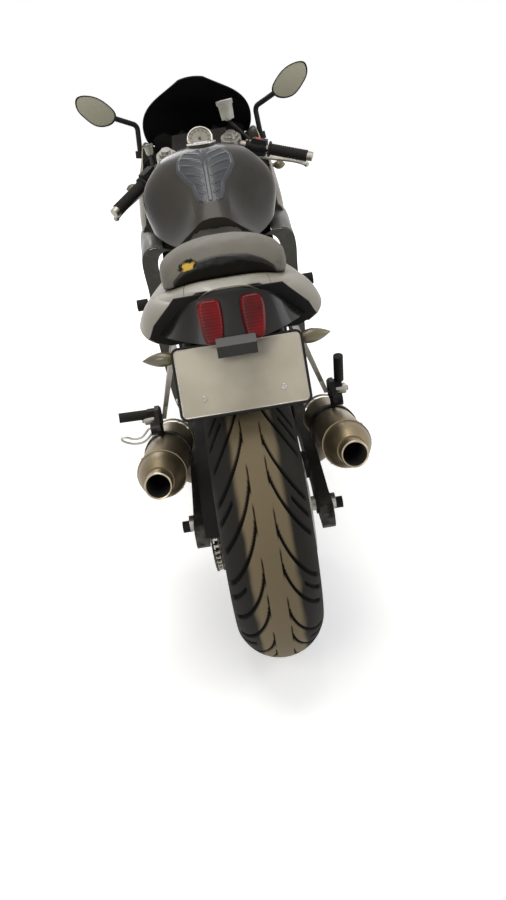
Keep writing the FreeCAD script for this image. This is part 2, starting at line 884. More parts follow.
def reservoir_bracket(pot):
    """The strip from the master cylinder up to a fluid pot's foot."""
    pad_radius = 9.0
    foot = pot_foot(pot)
    seat = bar_point(switch_start - pad_radius - running_gap, 0, bar_radius + rim_wall)
    strip_radius = 4.0
    top = foot - z_axis * strip_radius
    strip = rod(seat, top, strip_radius)
    pad = rod(top, foot, pad_radius)
    return fused([strip, pad]).cut(fused([switch_housing(), master_cylinder()]))


# Wheels' guards

guard_gap = 18.0
guard_wall = 2.5
guard_half_width = 66.0
guard_sweep = 118.0
guard_rear_angle = -68.0
guard_ear_low = 180.0
guard_ear_high = 272.0


def front_mudguard():
    """An arched guard close over the front tyre, with an ear on each side for the sliders."""
    crown = guard_half_width + guard_gap / 3
    top = front_axle.z + front_tyre_radius + guard_gap
    half = guard_half_width
    edge = top - crown + math.sqrt(crown * crown - half * half)

    def arc(lift):
        return (vec(-half, front_axle.y, edge + lift), vec(0, front_axle.y, top + lift),
                vec(half, front_axle.y, edge + lift))

    inner = arc(0)
    outer = arc(guard_wall)
    edges = [
        Part.Arc(*inner).toShape(), Part.LineSegment(inner[2], outer[2]).toShape(),
        Part.Arc(outer[2], outer[1], outer[0]).toShape(), Part.LineSegment(outer[0], inner[0]).toShape(),
    ]
    arch = turned(edges, front_axle, guard_sweep)
    arch.rotate(front_axle, x_axis, guard_rear_angle)
    ear_half_low = slider_radius
    ear_half_high = guard_ear_low / 2
    outline = []
    for up, back in ((guard_ear_low, -ear_half_low), (guard_ear_low, ear_half_low),
                     (guard_ear_high, ear_half_high), (guard_ear_high, -ear_half_high)):
        at = front_axle + fork_up * up + fork_back * back
        outline.append((at.y, at.z))
    ear = plate(outline, half, half + guard_wall)
    boss_at = front_axle + fork_up * (guard_ear_low + rim_ledge)
    boss = disc(half, fork_half_spacing - slider_radius, boss_at, rim_ledge / 2)
    return fused([arch, ear, boss, mirrored(ear), mirrored(boss)])


chain_guard_clear = 16.0
chain_guard_skirt = 34.0
chain_guard_end = 14.0


def chain_guard():
    """A black guard over the chain's top run and round behind its sprocket, on two feet."""
    foot_half = 12.0
    inner = chain_line - chain_inner_gap / 2 - chain_plate_thickness - chain_plate_thickness / 2
    outer = arm_inner + rim_wall / 3
    front_y = brace_y + brace_radius
    wrap = chain_pitch / (2 * math.sin(math.pi / rear_teeth)) + chain_plate_height / 2 + chain_guard_clear
    low = rear_axle_z + wrap
    high = low + panel_wall
    skirt_low = low - chain_guard_skirt
    far = wrap * 2
    turn = math.radians(chain_guard_end)
    sector = plate([
        (rear_axle_y, rear_axle_z), (rear_axle_y, rear_axle_z + far), (rear_axle_y + far, rear_axle_z + far),
        (rear_axle_y + far * math.cos(turn), rear_axle_z + far * math.sin(turn)),
    ], inner, outer)
    skin_inner = outer - panel_wall * 2 / 3
    bend = disc(inner, outer, rear_axle, wrap + panel_wall).cut(disc(inner, outer, rear_axle, wrap))
    cheek = disc(skin_inner, outer, rear_axle, wrap).cut(
        disc(skin_inner, outer, rear_axle, wrap - chain_guard_skirt))
    top = plate([(front_y, low), (rear_axle_y, low), (rear_axle_y, high), (front_y, high)], inner, outer)
    side = plate([(front_y, low), (rear_axle_y, low), (rear_axle_y, skirt_low), (front_y, skirt_low)],
                 skin_inner, outer)
    feet = []
    for foot_y in (front_y + foot_half * 3, rear_axle_y - foot_half * 4):
        feet.append(block(arm_inner + running_gap, outer, foot_y - foot_half, foot_y + foot_half,
                          arm_top(foot_y - foot_half) + running_gap, low))
    return fused([top, side, bend.common(sector), cheek.common(sector)] + feet)


# Swingarm and what it carries

def arm_top(y):
    """Height of the arm's upper edge at a given length."""
    front = pivot_z + arm_height / 2
    rear = rear_axle_z + arm_end_height / 2
    share = (y - pivot_y) / (rear_axle_y - pivot_y)
    return front + (rear - front) * share


def arm_bottom(y):
    front = pivot_z - arm_height / 2
    rear = rear_axle_z - arm_end_height / 2
    share = (y - pivot_y) / (rear_axle_y - pivot_y)
    return front + (rear - front) * share


plate_gap = 1.0
frame_plate_inner = arm_inner + 2.0
frame_plate_outer = frame_plate_inner + 18.0
frame_plate_rear = pivot_tube_radius * 1.2
arm_start = pivot_y + frame_plate_rear + plate_gap


def swingarm():
    """Two box arms joined by the brace tube, and by two gussets to the pivot tube."""
    end_y = rear_axle_y + arm_end
    end_top = arm_top(rear_axle_y)
    end_low = arm_bottom(rear_axle_y)
    corner = arm_end_height / 4
    arm = plate([
        (arm_start, arm_top(arm_start)), (arm_start, arm_bottom(arm_start)),
        (rear_axle_y, end_low), (end_y - corner, end_low), (end_y, end_low + corner),
        (end_y, end_top - corner), (end_y - corner, end_top), (rear_axle_y, end_top),
    ], arm_inner, arm_outer)
    pocket_depth = 5.0
    pocket = plate([
        (arm_start + arm_height, arm_top(arm_start + arm_height) - corner),
        (arm_start + arm_height, arm_bottom(arm_start + arm_height) + corner),
        (rear_axle_y - arm_end, arm_bottom(rear_axle_y - arm_end) + corner),
        (rear_axle_y - arm_end, arm_top(rear_axle_y - arm_end) - corner),
    ], arm_outer - pocket_depth, arm_outer + overrun)
    slot_half = 22.0
    slot_height = axle_radius + running_gap
    slot = block(arm_inner - overrun, arm_outer + overrun, rear_axle_y - slot_half, rear_axle_y + slot_half,
                 rear_axle_z - slot_height, rear_axle_z + slot_height)
    arm = arm.cut(pocket).cut(slot)
    brace_at = vec(0, brace_y, brace_z)
    brace = disc(-arm_inner - overrun, arm_inner + overrun, brace_at, brace_radius)
    pivot_at = vec(0, pivot_y, pivot_z)
    pivot_end = frame_plate_inner - running_gap
    pivot = disc(-pivot_end, pivot_end, pivot_at, pivot_tube_radius)
    gusset_inner = 50.0
    gusset_outer = 76.0
    half = pivot_tube_radius - running_gap
    gusset = plate([(pivot_y, pivot_z - half), (brace_y, brace_z - half), (brace_y, brace_z + half),
                    (pivot_y, pivot_z + half)], gusset_inner, gusset_outer)
    bolt = disc(-frame_plate_outer, frame_plate_outer, pivot_at, axle_radius)
    return fused([arm, mirrored(arm), brace, pivot, gusset, mirrored(gusset), bolt])


def rear_axle_shaft():
    nut_radius = 17.0
    nut_width = 12.0
    shaft = disc(-arm_outer - nut_width, arm_outer + nut_width, rear_axle, axle_radius - running_gap)
    spacer_radius = axle_radius + rim_wall
    spacer = disc(rear_hub_half + running_gap, arm_inner - running_gap, rear_axle, spacer_radius)
    nut = disc(arm_outer + running_gap, arm_outer + nut_width, rear_axle, nut_radius)
    return fused([shaft, spacer, mirrored(spacer), nut, mirrored(nut)])


def front_axle_shaft():
    end = fork_half_spacing + slider_radius
    inside = fork_half_spacing - slider_radius
    shaft = disc(-end - rim_wall, end + rim_wall, front_axle, axle_radius - running_gap)
    spacer_radius = axle_radius + rim_wall
    spacer = disc(front_hub_half + running_gap, inside - running_gap, front_axle, spacer_radius)
    return fused([shaft, spacer, mirrored(spacer)])


def paddock_bobbins():
    """The pins on the swingarm that a paddock stand's arms lift: a thin neck and a thick head."""
    centre = vec(0, bobbin_y, bobbin_z)
    head_start = arm_outer + bobbin_neck_length
    neck = disc(arm_outer, head_start, centre, bobbin_neck_radius)
    head = disc(head_start, head_start + bobbin_head_length, centre, bobbin_head_radius)
    return both_sides(fused([neck, head]))


rear_caliper_angle = 148.0
rear_caliper_half = 36.0
rear_caliper_depth = 30.0
rear_caliper_inner = -82.0
rear_caliper_outer = -118.0


def rear_caliper():
    """The rear caliper and the flat bracket that holds it on the axle."""
    body = caliper(rear_axle, rear_caliper_angle, rear_disc_x, rear_disc_radius,
                   rear_caliper_outer, rear_caliper_inner, rear_caliper_half, rear_caliper_depth)
    outer = -arm_inner + running_gap
    ring_radius = 24.0
    ring = disc(outer, rear_caliper_outer, rear_axle, ring_radius)
    far = [
        caliper_frame(rear_axle, rear_caliper_angle, rear_disc_radius, rear_caliper_half * share)
        for share in (-0.5, 0.5)
    ]
    near = [caliper_frame(rear_axle, rear_caliper_angle, 0, ring_radius * share) for share in (0.9, -0.9)]
    web = plate(far + near, outer, rear_caliper_outer)
    bore = disc(outer - overrun, rear_caliper_outer + overrun, rear_axle, axle_radius + rim_wall + running_gap)
    return fused([body, ring, web]).cut(bore)


# Frame, subframe and engine

engine_half_width = 92.0
head_mid = steering_base + fork_up * ((head_tube_low + head_tube_high) / 2)
spar_spread = 124.0
spar_end_ahead = 73.0
spar_end_above = 166.0
spar_shares = (
    (0.30, 0.00, 0.00, 0.90),
    (0.86, 0.22, 0.10, 1.02),
    (1.12, 0.45, 0.22, 1.06),
    (1.14, 0.70, 0.40, 1.04),
    (1.07, 0.92, 0.60, 0.94),
)
spar_end = vec(0, pivot_y - spar_end_ahead, pivot_z + spar_end_above)
spar_run = (spar_end.y - head_mid.y) / spar_shares[-1][1]
spar_fall = (head_mid.z - spar_end.z) / spar_shares[-1][2]
cross_tube_radius = 16.0
shock_top_y = spar_end.y + cross_tube_radius / 2
shock_top_z = spar_end.z


def spar_section(x, y, z, height):
    half_h = height / 2
    half_t = spar_thickness / 2
    corners = [vec(x - half_t, y, z - half_h), vec(x + half_t, y, z - half_h),
               vec(x + half_t, y, z + half_h), vec(x - half_t, y, z + half_h)]
    return Part.makePolygon(corners + corners[:1])


def frame():
    """A twin-spar frame: head tube, two box spars round the engine, pivot plates, cross tubes."""
    base = steering_base
    head = rod(base + fork_up * head_tube_low, base + fork_up * head_tube_high, head_tube_radius)
    sections = []
    for x_share, y_share, z_share, height_share in spar_shares:
        sections.append(spar_section(spar_spread * x_share, head_mid.y + spar_run * y_share,
                                     head_mid.z - spar_fall * z_share, spar_height * height_share))
    spar = loft(sections)
    end_y = spar_end.y
    end_z = spar_end.z
    half = spar_height * spar_shares[-1][3] / 2
    front = pivot_y - pivot_tube_radius * 2
    side = plate([
        (end_y - overrun, end_z + half), (end_y - overrun, end_z - half),
        (front, pivot_z + pivot_tube_radius), (front, pivot_z - spar_height),
        (pivot_y - pivot_tube_radius, pivot_z - spar_height * 1.5),
        (pivot_y + pivot_tube_radius, pivot_z - spar_height * 1.2),
        (pivot_y + frame_plate_rear, pivot_z - pivot_tube_radius),
        (pivot_y + frame_plate_rear, pivot_z + pivot_tube_radius * 2),
    ], frame_plate_inner, frame_plate_outer)
    side = side.cut(disc(frame_plate_inner - overrun, frame_plate_outer + overrun,
                         vec(0, pivot_y, pivot_z), axle_radius + running_gap))
    upper = disc(-frame_plate_inner - overrun, frame_plate_inner + overrun,
                 vec(0, shock_top_y, shock_top_z), cross_tube_radius)
    lower = disc(-frame_plate_inner - overrun, frame_plate_inner + overrun,
                 vec(0, pivot_y - pivot_tube_radius, pivot_z - spar_height * 1.4), cross_tube_radius / 2)
    pin = disc(engine_half_width, frame_plate_inner + overrun, engine_mount, axle_radius)
    pieces = [head, spar, mirrored(spar), side, mirrored(side), upper, lower, pin, mirrored(pin)]
    body = fused(pieces).cut(engine())
    bore = rod(base + fork_up * (head_tube_low - overrun), base + fork_up * (head_tube_high + overrun),
               head_bore_radius)
    return fused([body.cut(bore), fairing_stay(), tank_post(), mirrored(tank_post())])


stay_radius = 9.0
stay_end_y = -1000.0
stay_end_z = 830.0
tank_post_share = 0.38
tank_post_radius = 13.0


def fairing_stay():
    """The tube that holds the nose, from the head tube's front to the fairing's inner face."""
    start = head_mid - fork_back * (head_tube_radius + head_bore_radius) / 2
    whole = rod(start, vec(0, stay_end_y, stay_end_z), stay_radius).cut(nose_skin(panel_wall))
    return min(whole.Solids, key=lambda solid: solid.CenterOfMass.distanceToPoint(head_mid))


def tank_post():
    """A post on the spar that the tank rests on."""
    before, after = spar_shares[1], spar_shares[2]
    x_share, y_share, z_share = (before[k] + (after[k] - before[k]) * tank_post_share for k in range(3))
    foot = vec(spar_spread * x_share, head_mid.y + spar_run * y_share, head_mid.z - spar_fall * z_share)
    whole = rod(foot, vec(foot.x, foot.y, tank_top), tank_post_radius).cut(tank())
    return min(whole.Solids, key=lambda solid: solid.CenterOfMass.z)


crankcase_front = -250.0
crankcase_rear = 140.0
crankcase_low = 222.0
crankcase_high = 520.0
cylinder_lean = 25.0
cylinder_height = 200.0
cylinder_front = -238.0
cylinder_rear = -70.0
cylinder_half_width = 168.0
clutch_radius = 72.0
cover_depth = 24.0
engine_mount = vec(0, crankcase_rear - clutch_radius - axle_radius, spar_end.z)


def engine():
    """The engine as one heavy block: crankcase, leaning cylinder block, sump and side covers."""
    corner = 40.0
    case = plate([
        (crankcase_front, crankcase_low + corner), (crankcase_front + corner, crankcase_low),
        (crankcase_rear - corner, crankcase_low), (crankcase_rear, crankcase_low + corner),
        (crankcase_rear, crankcase_high - corner), (crankcase_rear - corner, crankcase_high),
        (crankcase_front + corner, crankcase_high), (crankcase_front, crankcase_high - corner),
    ], -engine_half_width, engine_half_width)
    cylinder_wide = cylinder_half_width * 2 / 3
    cylinders = block(-cylinder_wide, cylinder_wide, cylinder_front, cylinder_rear,
                      crankcase_high - corner, crankcase_high + cylinder_height - corner)
    cylinders.rotate(vec(0, cylinder_front, crankcase_high - corner), x_axis, cylinder_lean)
    left = disc(engine_half_width, engine_half_width + cover_depth, vec(0, crankcase_front / 2, front_sprocket_z),
                clutch_radius * 0.9)
    right = disc(-engine_half_width - cover_depth, -engine_half_width, vec(0, 0, front_sprocket_z), clutch_radius)
    lug_half = 14.0
    lug = block(-engine_half_width, engine_half_width, engine_mount.y - lug_half, engine_mount.y + lug_half,
                crankcase_high - corner, engine_mount.z + lug_half)
    return fused([case, cylinders, left, right, lug])


radiator_top_y = -398.0
radiator_top_z = 700.0
radiator_low_y = -358.0
radiator_low_z = 430.0
radiator_half_width = 160.0
radiator_thickness = 26.0


def radiator():
    """A flat core between two side tanks, with a row of shallow fins pressed in its front."""
    core = plate([
        (radiator_top_y - radiator_thickness / 2, radiator_top_z),
        (radiator_low_y - radiator_thickness / 2, radiator_low_z),
        (radiator_low_y + radiator_thickness / 2, radiator_low_z),
        (radiator_top_y + radiator_thickness / 2, radiator_top_z),
    ], -radiator_half_width, radiator_half_width)
    arm_radius = 7.0
    arms = rod(vec(head_bore_radius, radiator_top_y, radiator_top_z - arm_radius),
               vec(spar_spread * spar_shares[1][0], head_mid.y + spar_run * spar_shares[1][1],
                   head_mid.z - spar_fall * spar_shares[1][2] - spar_height / 2), arm_radius)
    return fused([core, arms, mirrored(arms)]).cut(frame())


def exhaust_pipes():
    """One side's two header pipes, the collector under the engine and the link to the silencer."""
    header_radius = 17.0
    collector_radius = 27.0
    port_z = crankcase_high + cylinder_height / 2
    port_y = cylinder_front - cylinder_height / 4
    down_y = crankcase_front - header_radius * 3
    low_z = collector_z
    pieces = []
    for share in (0.3, 0.8):
        x = engine_half_width * share
        path = [vec(x, port_y, port_z), vec(x, down_y, port_z - header_radius * 3),
                vec(x, down_y, low_z + header_radius * 2), vec(x, crankcase_front, low_z),
                vec(collector_x, crankcase_front / 2, low_z)]
        pieces.append(bent_rod(path, header_radius * 1.2, header_radius))
    collector = rod(vec(collector_x, crankcase_front * 0.6, low_z), vec(collector_x, 0, low_z), collector_radius)
    return fused(pieces + [collector, link_pipe()]).cut(engine())


collector_x = 45.0
collector_z = 168.0


def link_pipe():
    """The pipe from the collector, under the swingarm's front, out and up to the silencer."""
    entry = vec(silencer_front_x, silencer_front_y, silencer_front_z)
    along = (vec(silencer_rear_x, silencer_rear_y, silencer_rear_z) - entry).normalize()
    path = [
        vec(collector_x, -link_pipe_radius, collector_z), vec(collector_x, brace_y - brace_radius / 2, collector_z),
        vec(silencer_front_x, brace_y + arm_height * 4 / 3, pivot_z - arm_height * 5 / 4),
        entry - along * link_pipe_radius * 3, entry,
    ]
    return bent_rod(path, link_pipe_radius * 2, link_pipe_radius)


def silencer():
    """A round can with a domed end cap and a short hollow outlet tube that stands out of it."""
    front = vec(silencer_front_x, silencer_front_y, silencer_front_z)
    rear = vec(silencer_rear_x, silencer_rear_y, silencer_rear_z)
    along = (rear - front).normalize()
    length = (rear - front).Length
    neck = link_pipe_radius + running_gap
    cone = 34.0
    cap_edge = length - outlet_length
    cap_length = 58.0
    band_lift = 1.5
    band = 14.0
    band_end = cap_edge - cap_length
    collar = outlet_radius + rim_wall / 2
    dome_shares = ((0, 1.0), (0.3, 0.92), (0.65, 0.62), (0.9, 0.2), (1.0, 0))
    across = along.cross(x_axis).normalize()

    def spots(profile):
        return [front + along * a + across * r for a, r in profile]

    start = spots([
        (0, 0), (0, neck), (cone, silencer_radius), (band_end - band, silencer_radius),
        (band_end - band, silencer_radius + band_lift), (band_end, silencer_radius + band_lift),
        (band_end, silencer_radius),
    ])
    dome = spots([(band_end + cap_length * a, collar + (silencer_radius - collar) * r) for a, r in dome_shares])
    end = spots([
        (cap_edge, collar), (cap_edge, outlet_radius), (length, outlet_radius), (length, outlet_bore),
        (length - outlet_depth, outlet_bore), (length - outlet_depth, 0), (0, 0),
    ])
    edges = Part.makePolygon(start).Edges + [smooth_edge(dome)] + Part.makePolygon(end).Edges
    return Part.Face(Part.Wire(edges)).revolve(front, along, 360)


def silencer_clamp():
    """The strap round the can and its tab up to the hanger's bolt."""
    front = vec(silencer_front_x, silencer_front_y, silencer_front_z)
    rear = vec(silencer_rear_x, silencer_rear_y, silencer_rear_z)
    along = (rear - front).normalize()
    at_share = 0.36
    width = 20.0
    start = front + (rear - front) * at_share
    strap = pipe(start, start + along * width, silencer_radius + panel_wall, silencer_radius + running_gap / 3)
    tab_z = hanger_bolt.z
    tab = block(start.x, start.x + panel_wall * 2, start.y, start.y + width,
                start.z + silencer_radius, tab_z + width / 2)
    return fused([strap, tab.cut(rod(front, rear, silencer_radius + running_gap / 3))])


hanger_top = vec(112.0, 560.0, 742.0)
hanger_joint = vec(180.0, 602.0, 533.0)
hanger_bolt = vec(190.0, 668.0, 536.0)
peg_pivot = vec(196.0, 640.0, 560.0)
peg_length = 76.0


def flat_bar(start, end, width, thickness):
    """A straight bar of rectangular section, its width along the machine."""
    wires = []
    for at in (start, end):
        corners = [at + vec(sx * thickness / 2, sy * width / 2, 0)
                   for sx, sy in ((-1, -1), (1, -1), (1, 1), (-1, 1))]
        wires.append(Part.makePolygon(corners + corners[:1]))
    return loft(wires, True)


subframe_radius = 12.0
subframe_line = (
    (frame_plate_inner + 8.0, 110.0, 575.0), (108.0, 330.0, 728.0), (78.0, 600.0, 752.0), (46.0, 770.0, 764.0),
)


def subframe():
    """Two bent rails from the frame's rear corners to the tail, with cross tubes between."""
    points = [vec(x, y, z) for x, y, z in subframe_line]
    rail = bent_rod(points, subframe_radius * 5, subframe_radius)
    crosses = []
    for x, y, z in subframe_line[1:]:
        crosses.append(disc(-x, x, vec(0, y, z), subframe_radius * 3 / 4))
    stay = rod(vec(subframe_line[1][0], subframe_line[1][1], subframe_line[1][2]),
               vec(frame_plate_inner + 8.0, pivot_y, pivot_z + spar_height * 3 / 4), subframe_radius * 3 / 4)
    mount_end = hanger_top
    mount = rod(vec(subframe_line[1][0] - 18.0, mount_end.y, mount_end.z), mount_end, subframe_radius * 3 / 4)
    tie_radius = 7.0
    tie_y = 640.0
    whole = disc(0, tail_rows[3][1] + overrun, vec(0, tie_y, subframe_line[2][2]), tie_radius).cut(tail_body())
    tie = min(whole.Solids, key=lambda solid: solid.CenterOfMass.x)
    pieces = [rail, mirrored(rail), stay, mirrored(stay), mount, mirrored(mount), tie, mirrored(tie)]
    return fused(pieces + crosses).cut(frame())


def rear_shock():
    """The damper with its spring, from the swingarm's brace to the frame's cross tube."""
    low = vec(0, brace_y, brace_z)
    high = vec(0, shock_top_y, shock_top_z)
    along = (high - low).normalize()
    start = low + along * (brace_radius + running_gap)
    end = high - along * (cross_tube_radius + running_gap)
    length = (end - start).Length
    damper_radius = 17.0
    seat_radius = 34.0
    seat = 8.0
    coils = 7
    coil_step = (length - 4 * seat) / coils
    valley_radius = seat_radius * 0.72
    profile = [(0, 0), (0, damper_radius), (seat, damper_radius), (seat, seat_radius), (seat * 2, seat_radius)]
    for k in range(coils):
        first = seat * 2 + coil_step * k
        profile += [(first, valley_radius), (first + coil_step * 0.3, seat_radius - coil_step / 8),
                    (first + coil_step * 0.7, seat_radius - coil_step / 8)]
    last = length - seat * 2
    profile += [(last, valley_radius), (last, seat_radius), (last + seat, seat_radius),
                (last + seat, damper_radius), (length, damper_radius), (length, 0)]
    points = [start + along * a + x_axis * r for a, r in profile]
    return Part.Face(Part.makePolygon(points + points[:1])).revolve(start, along, 360)


def rider_footrests():
    """Both rider pegs with their cast hangers and the two foot levers."""
    x0 = frame_plate_outer
    x1 = x0 + 9.0
    hanger_y = pivot_y + pivot_tube_radius / 2
    hanger = plate([
        (pivot_y - pivot_tube_radius, pivot_z + pivot_tube_radius * 3),
        (pivot_y - pivot_tube_radius, pivot_z - pivot_tube_radius),
        (hanger_y, pivot_z - pivot_tube_radius * 2), (hanger_y + pivot_tube_radius / 2, pivot_z),
        (pivot_y + pivot_tube_radius, pivot_z + pivot_tube_radius * 4),
    ], x0, x1)
    hole = disc(x0 - overrun, x1 + overrun, vec(0, pivot_y, pivot_z), axle_radius * 2)
    peg_at = vec(0, hanger_y, pivot_z - pivot_tube_radius * 3 / 2)
    peg = disc(x1, x1 + peg_length, peg_at, axle_radius)
    lever_at = vec(0, peg_at.y - pivot_tube_radius * 6, peg_at.z + pivot_tube_radius / 2)
    lever_bar = plate([
        (peg_at.y - axle_radius, peg_at.z + axle_radius), (peg_at.y - axle_radius, peg_at.z - axle_radius / 2),
        (lever_at.y, lever_at.z - axle_radius / 2), (lever_at.y, lever_at.z + axle_radius / 2),
    ], x1, x1 + axle_radius)
    toe = disc(x1, x1 + peg_length / 2, lever_at, axle_radius * 4 / 5)
    one = fused([hanger.cut(hole), peg, lever_bar, toe])
    return both_sides(one)


def pillion_hangers():
    """Cast struts down from the subframe, splayed outwards."""
    width = 26.0
    thickness = 10.0
    strut = flat_bar(hanger_top + vec(thickness / 2 + running_gap, 0, 0), hanger_joint, width, thickness)
    second_top = hanger_top + vec(thickness / 2 + running_gap, width * 2, -width / 2)
    second = flat_bar(second_top, hanger_joint, width / 2, thickness)
    one = fused([strut, second])
    return both_sides(one)


def pillion_bracket():
    """The black lower bracket from a strut to the silencer bolt and the peg pivot."""
    x0 = hanger_joint.x + 5.3
    x1 = x0 + 9.0
    outline = [
        (hanger_joint.y - 18.0, hanger_joint.z + 16.0), (hanger_joint.y - 16.0, hanger_joint.z - 18.0),
        (hanger_bolt.y, hanger_bolt.z - 14.0), (hanger_bolt.y + 16.0, hanger_bolt.z),
        (peg_pivot.y + 14.0, peg_pivot.z + 12.0), (peg_pivot.y - 12.0, peg_pivot.z + 12.0),
    ]
    one = plate(outline, x0, x1)
    bush = disc(silencer_rear_x - 4.0, x1 + 12.0, vec(0, hanger_bolt.y, hanger_bolt.z), 13.0)
    return fused([one, bush])


def pillion_peg_left():
    """The left pillion peg, folded out."""
    start = vec(hanger_joint.x + 15.0, peg_pivot.y, peg_pivot.z)
    knuckle = Part.makeBox(16.0, 18.0, 18.0, start - vec(0, 9.0, 9.0))
    peg = rod(start + vec(16.0, 0, 0), start + vec(peg_length, 6.0, 4.0), 10.5)
    return fused([knuckle, peg])


def pillion_peg_right():
    """The right pillion peg, folded up against its bracket."""
    start = vec(-hanger_joint.x - 15.0, peg_pivot.y, peg_pivot.z)
    knuckle = Part.makeBox(16.0, 18.0, 18.0, start - vec(16.0, 9.0, 9.0))
    peg = rod(start + vec(-11.5, 0, 9.0), start + vec(-13.0, 16.0, peg_length * 0.9), 10.5)
    return fused([knuckle, peg])


# Side stand. Its pivot and foot are given on the upright machine; the floor is known only
# once the lean has been worked out, so the foot plate is set square to it below.

def stand_pivot_point():
    return vec(stand_pivot_x, stand_pivot_y, stand_pivot_z)


stand_tab_half = 4.0
stand_ear = 6.0
stand_knuckle_radius = 15.0
stand_pin_radius = 6.0


def swing_plate(direction, length, width, start, end):
    """A flat link in the stand's swing plane, rounded at the pivot, between two depths."""
    at = stand_pivot_point()
    side = stand_axis.cross(direction).normalize() * (width / 2)
    base = at + stand_axis * start
    points = [base + side, base - side, base - side + direction * length, base + side + direction * length]
    link = Part.Face(Part.makePolygon(points + points[:1])).extrude(stand_axis * (end - start))
    return fused([link, rod(base, at + stand_axis * end, width / 2)])


def stand_mount():
    """The lug under the engine that the stand's fork straddles, with its cross pin."""
    at = stand_pivot_point()
    reach = 62.0
    inward = ((stand_out + stand_back) * -1).normalize()
    lug = swing_plate(inward, reach, stand_knuckle_radius * 2, -stand_tab_half, stand_tab_half)
    end = stand_tab_half + running_gap + stand_ear
    pin = rod(at - stand_axis * end, at + stand_axis * end, stand_pin_radius)
    return fused([lug, pin])


def side_stand():
    """The stand: a fork round the lug, a round leg and a flat foot square to the floor."""
    at = stand_pivot_point()
    inner = stand_tab_half + running_gap
    outer = inner + stand_ear
    fork_length = 44.0
    web_start = stand_knuckle_radius + running_gap * 4
    ears = []
    for sign in (-1, 1):
        ears.append(swing_plate(stand_out, fork_length, stand_knuckle_radius * 2, sign * inner, sign * outer))
    hole = rod(at - stand_axis * outer * 2, at + stand_axis * outer * 2, stand_pin_radius + running_gap)
    foot_top = stand_foot + floor_up * stand_foot_thickness
    leg = rod(at + stand_out * (web_start + stand_leg_radius), foot_top, stand_leg_radius)
    block_start = at + stand_out * web_start
    web = rod(block_start, at + stand_out * fork_length, stand_leg_radius)
    foot = rod(stand_foot, foot_top, stand_foot_radius)
    tab_at = at + (foot_top - at) * 0.62
    tab_length = 42.0
    tab = rod(tab_at, tab_at - y_axis * tab_length, stand_pin_radius)
    below = rod(stand_foot - floor_up * stand_leg_radius * 2, stand_foot, stand_foot_radius * 2)
    return fused(ears + [leg, web, foot, tab]).cut(hole).cut(below)


# Tank, seats and tail

tank_front = -336.0
tank_rear = 66.0
tank_top = 999.0
tank_bottom = 772.0
tank_half_width = 188.0
tank_shares = (
    (0.00, 0.78, 0.30, 0.74, 0.42, 0.62, 0.40, 0.50, 0.48),
    (0.09, 0.92, 0.42, 0.86, 0.60, 0.64, 0.56, 0.40, 0.36),
    (0.26, 1.00, 0.62, 0.90, 0.86, 0.58, 0.80, 0.26, 0.18),
    (0.42, 0.97, 0.64, 0.84, 1.00, 0.50, 0.92, 0.16, 0.08),
    (0.58, 0.84, 0.46, 0.72, 0.82, 0.44, 0.90, 0.10, 0.03),
    (0.78, 0.60, 0.28, 0.52, 0.50, 0.30, 0.76, 0.06, 0.01),
    (1.00, 0.32, 0.21, 0.28, 0.38, 0.17, 0.56, 0.05, 0.00),
)


def hoop(y, runs):
    """A closed section at one length: runs of (x, z) down the left side, repeated on the right."""
    def place(points):
        spots = [vec(x, y, z) for x, z in points]
        if len(spots) == 2:
            return Part.LineSegment(spots[0], spots[1]).toShape()
        return smooth_edge(spots)

    def flipped(run):
        return [(-x, z) for x, z in reversed(run)]

    top = flipped(runs[0][1:]) + runs[0]
    bottom = runs[-1] + flipped(runs[-1][:-1])
    edges = [place(top)] + [place(run) for run in runs[1:-1]] + [place(bottom)]
    edges += [place(flipped(run)) for run in reversed(runs[1:-1])]
    return Part.Wire(edges)


def tank():
    """The fuel tank: domed top, two ridges that draw together, and hollow knee recesses."""
    height = tank_top - tank_bottom
    wires = []
    crown_share = 0.012
    for y_s, top_s, rx_s, rz_s, mx_s, mz_s, lx_s, lz_s, bz_s in tank_shares:
        y = tank_front + (tank_rear - tank_front) * y_s
        ridge = (tank_half_width * rx_s, tank_bottom + height * rz_s)
        middle = (tank_half_width * mx_s, tank_bottom + height * mz_s)
        low = (tank_half_width * lx_s, tank_bottom + height * lz_s)
        top = (0, tank_bottom + height * top_s)
        shoulder = (ridge[0] * 0.6, top[1] - (top[1] - ridge[1]) * 0.3)
        base = (0, tank_bottom + height * bz_s)
        wires.append(hoop(y, [[top, shoulder, ridge], [ridge, middle, low], [low, base]]))
    body = loft(wires)
    cap_radius = 42.0
    cap_height = 5.0
    cap_y = tank_front + (tank_rear - tank_front) * 0.26
    cap = rod(vec(0, cap_y, tank_top - cap_height * 2), vec(0, cap_y, tank_top + cap_height), cap_radius)
    return fused([body, cap])


seat_front = 72.0
seat_rear = 372.0
seat_low = 768.0


def rider_seat():
    """The rider's pad: narrow at the tank and wide and dished behind."""
    rows = (
        (seat_front, 72.0, 824.0), (130.0, 94.0, 811.0), (220.0, 132.0, 802.0),
        (310.0, 144.0, 808.0), (seat_rear, 132.0, 830.0),
    )
    wires = []
    for y, half, top in rows:
        edge = top - 14.0
        wires.append(hoop(y, [[(0, top), (half * 0.6, top - 2.0), (half * 0.92, edge)],
                              [(half * 0.92, edge), (half, (edge + seat_low) / 2), (half * 0.94, seat_low)],
                              [(half * 0.94, seat_low), (0, seat_low)]]))
    return loft(wires).cut(tail_envelope(running_gap))


pad_front = 376.0
pad_rear = 596.0
pad_low = 780.0


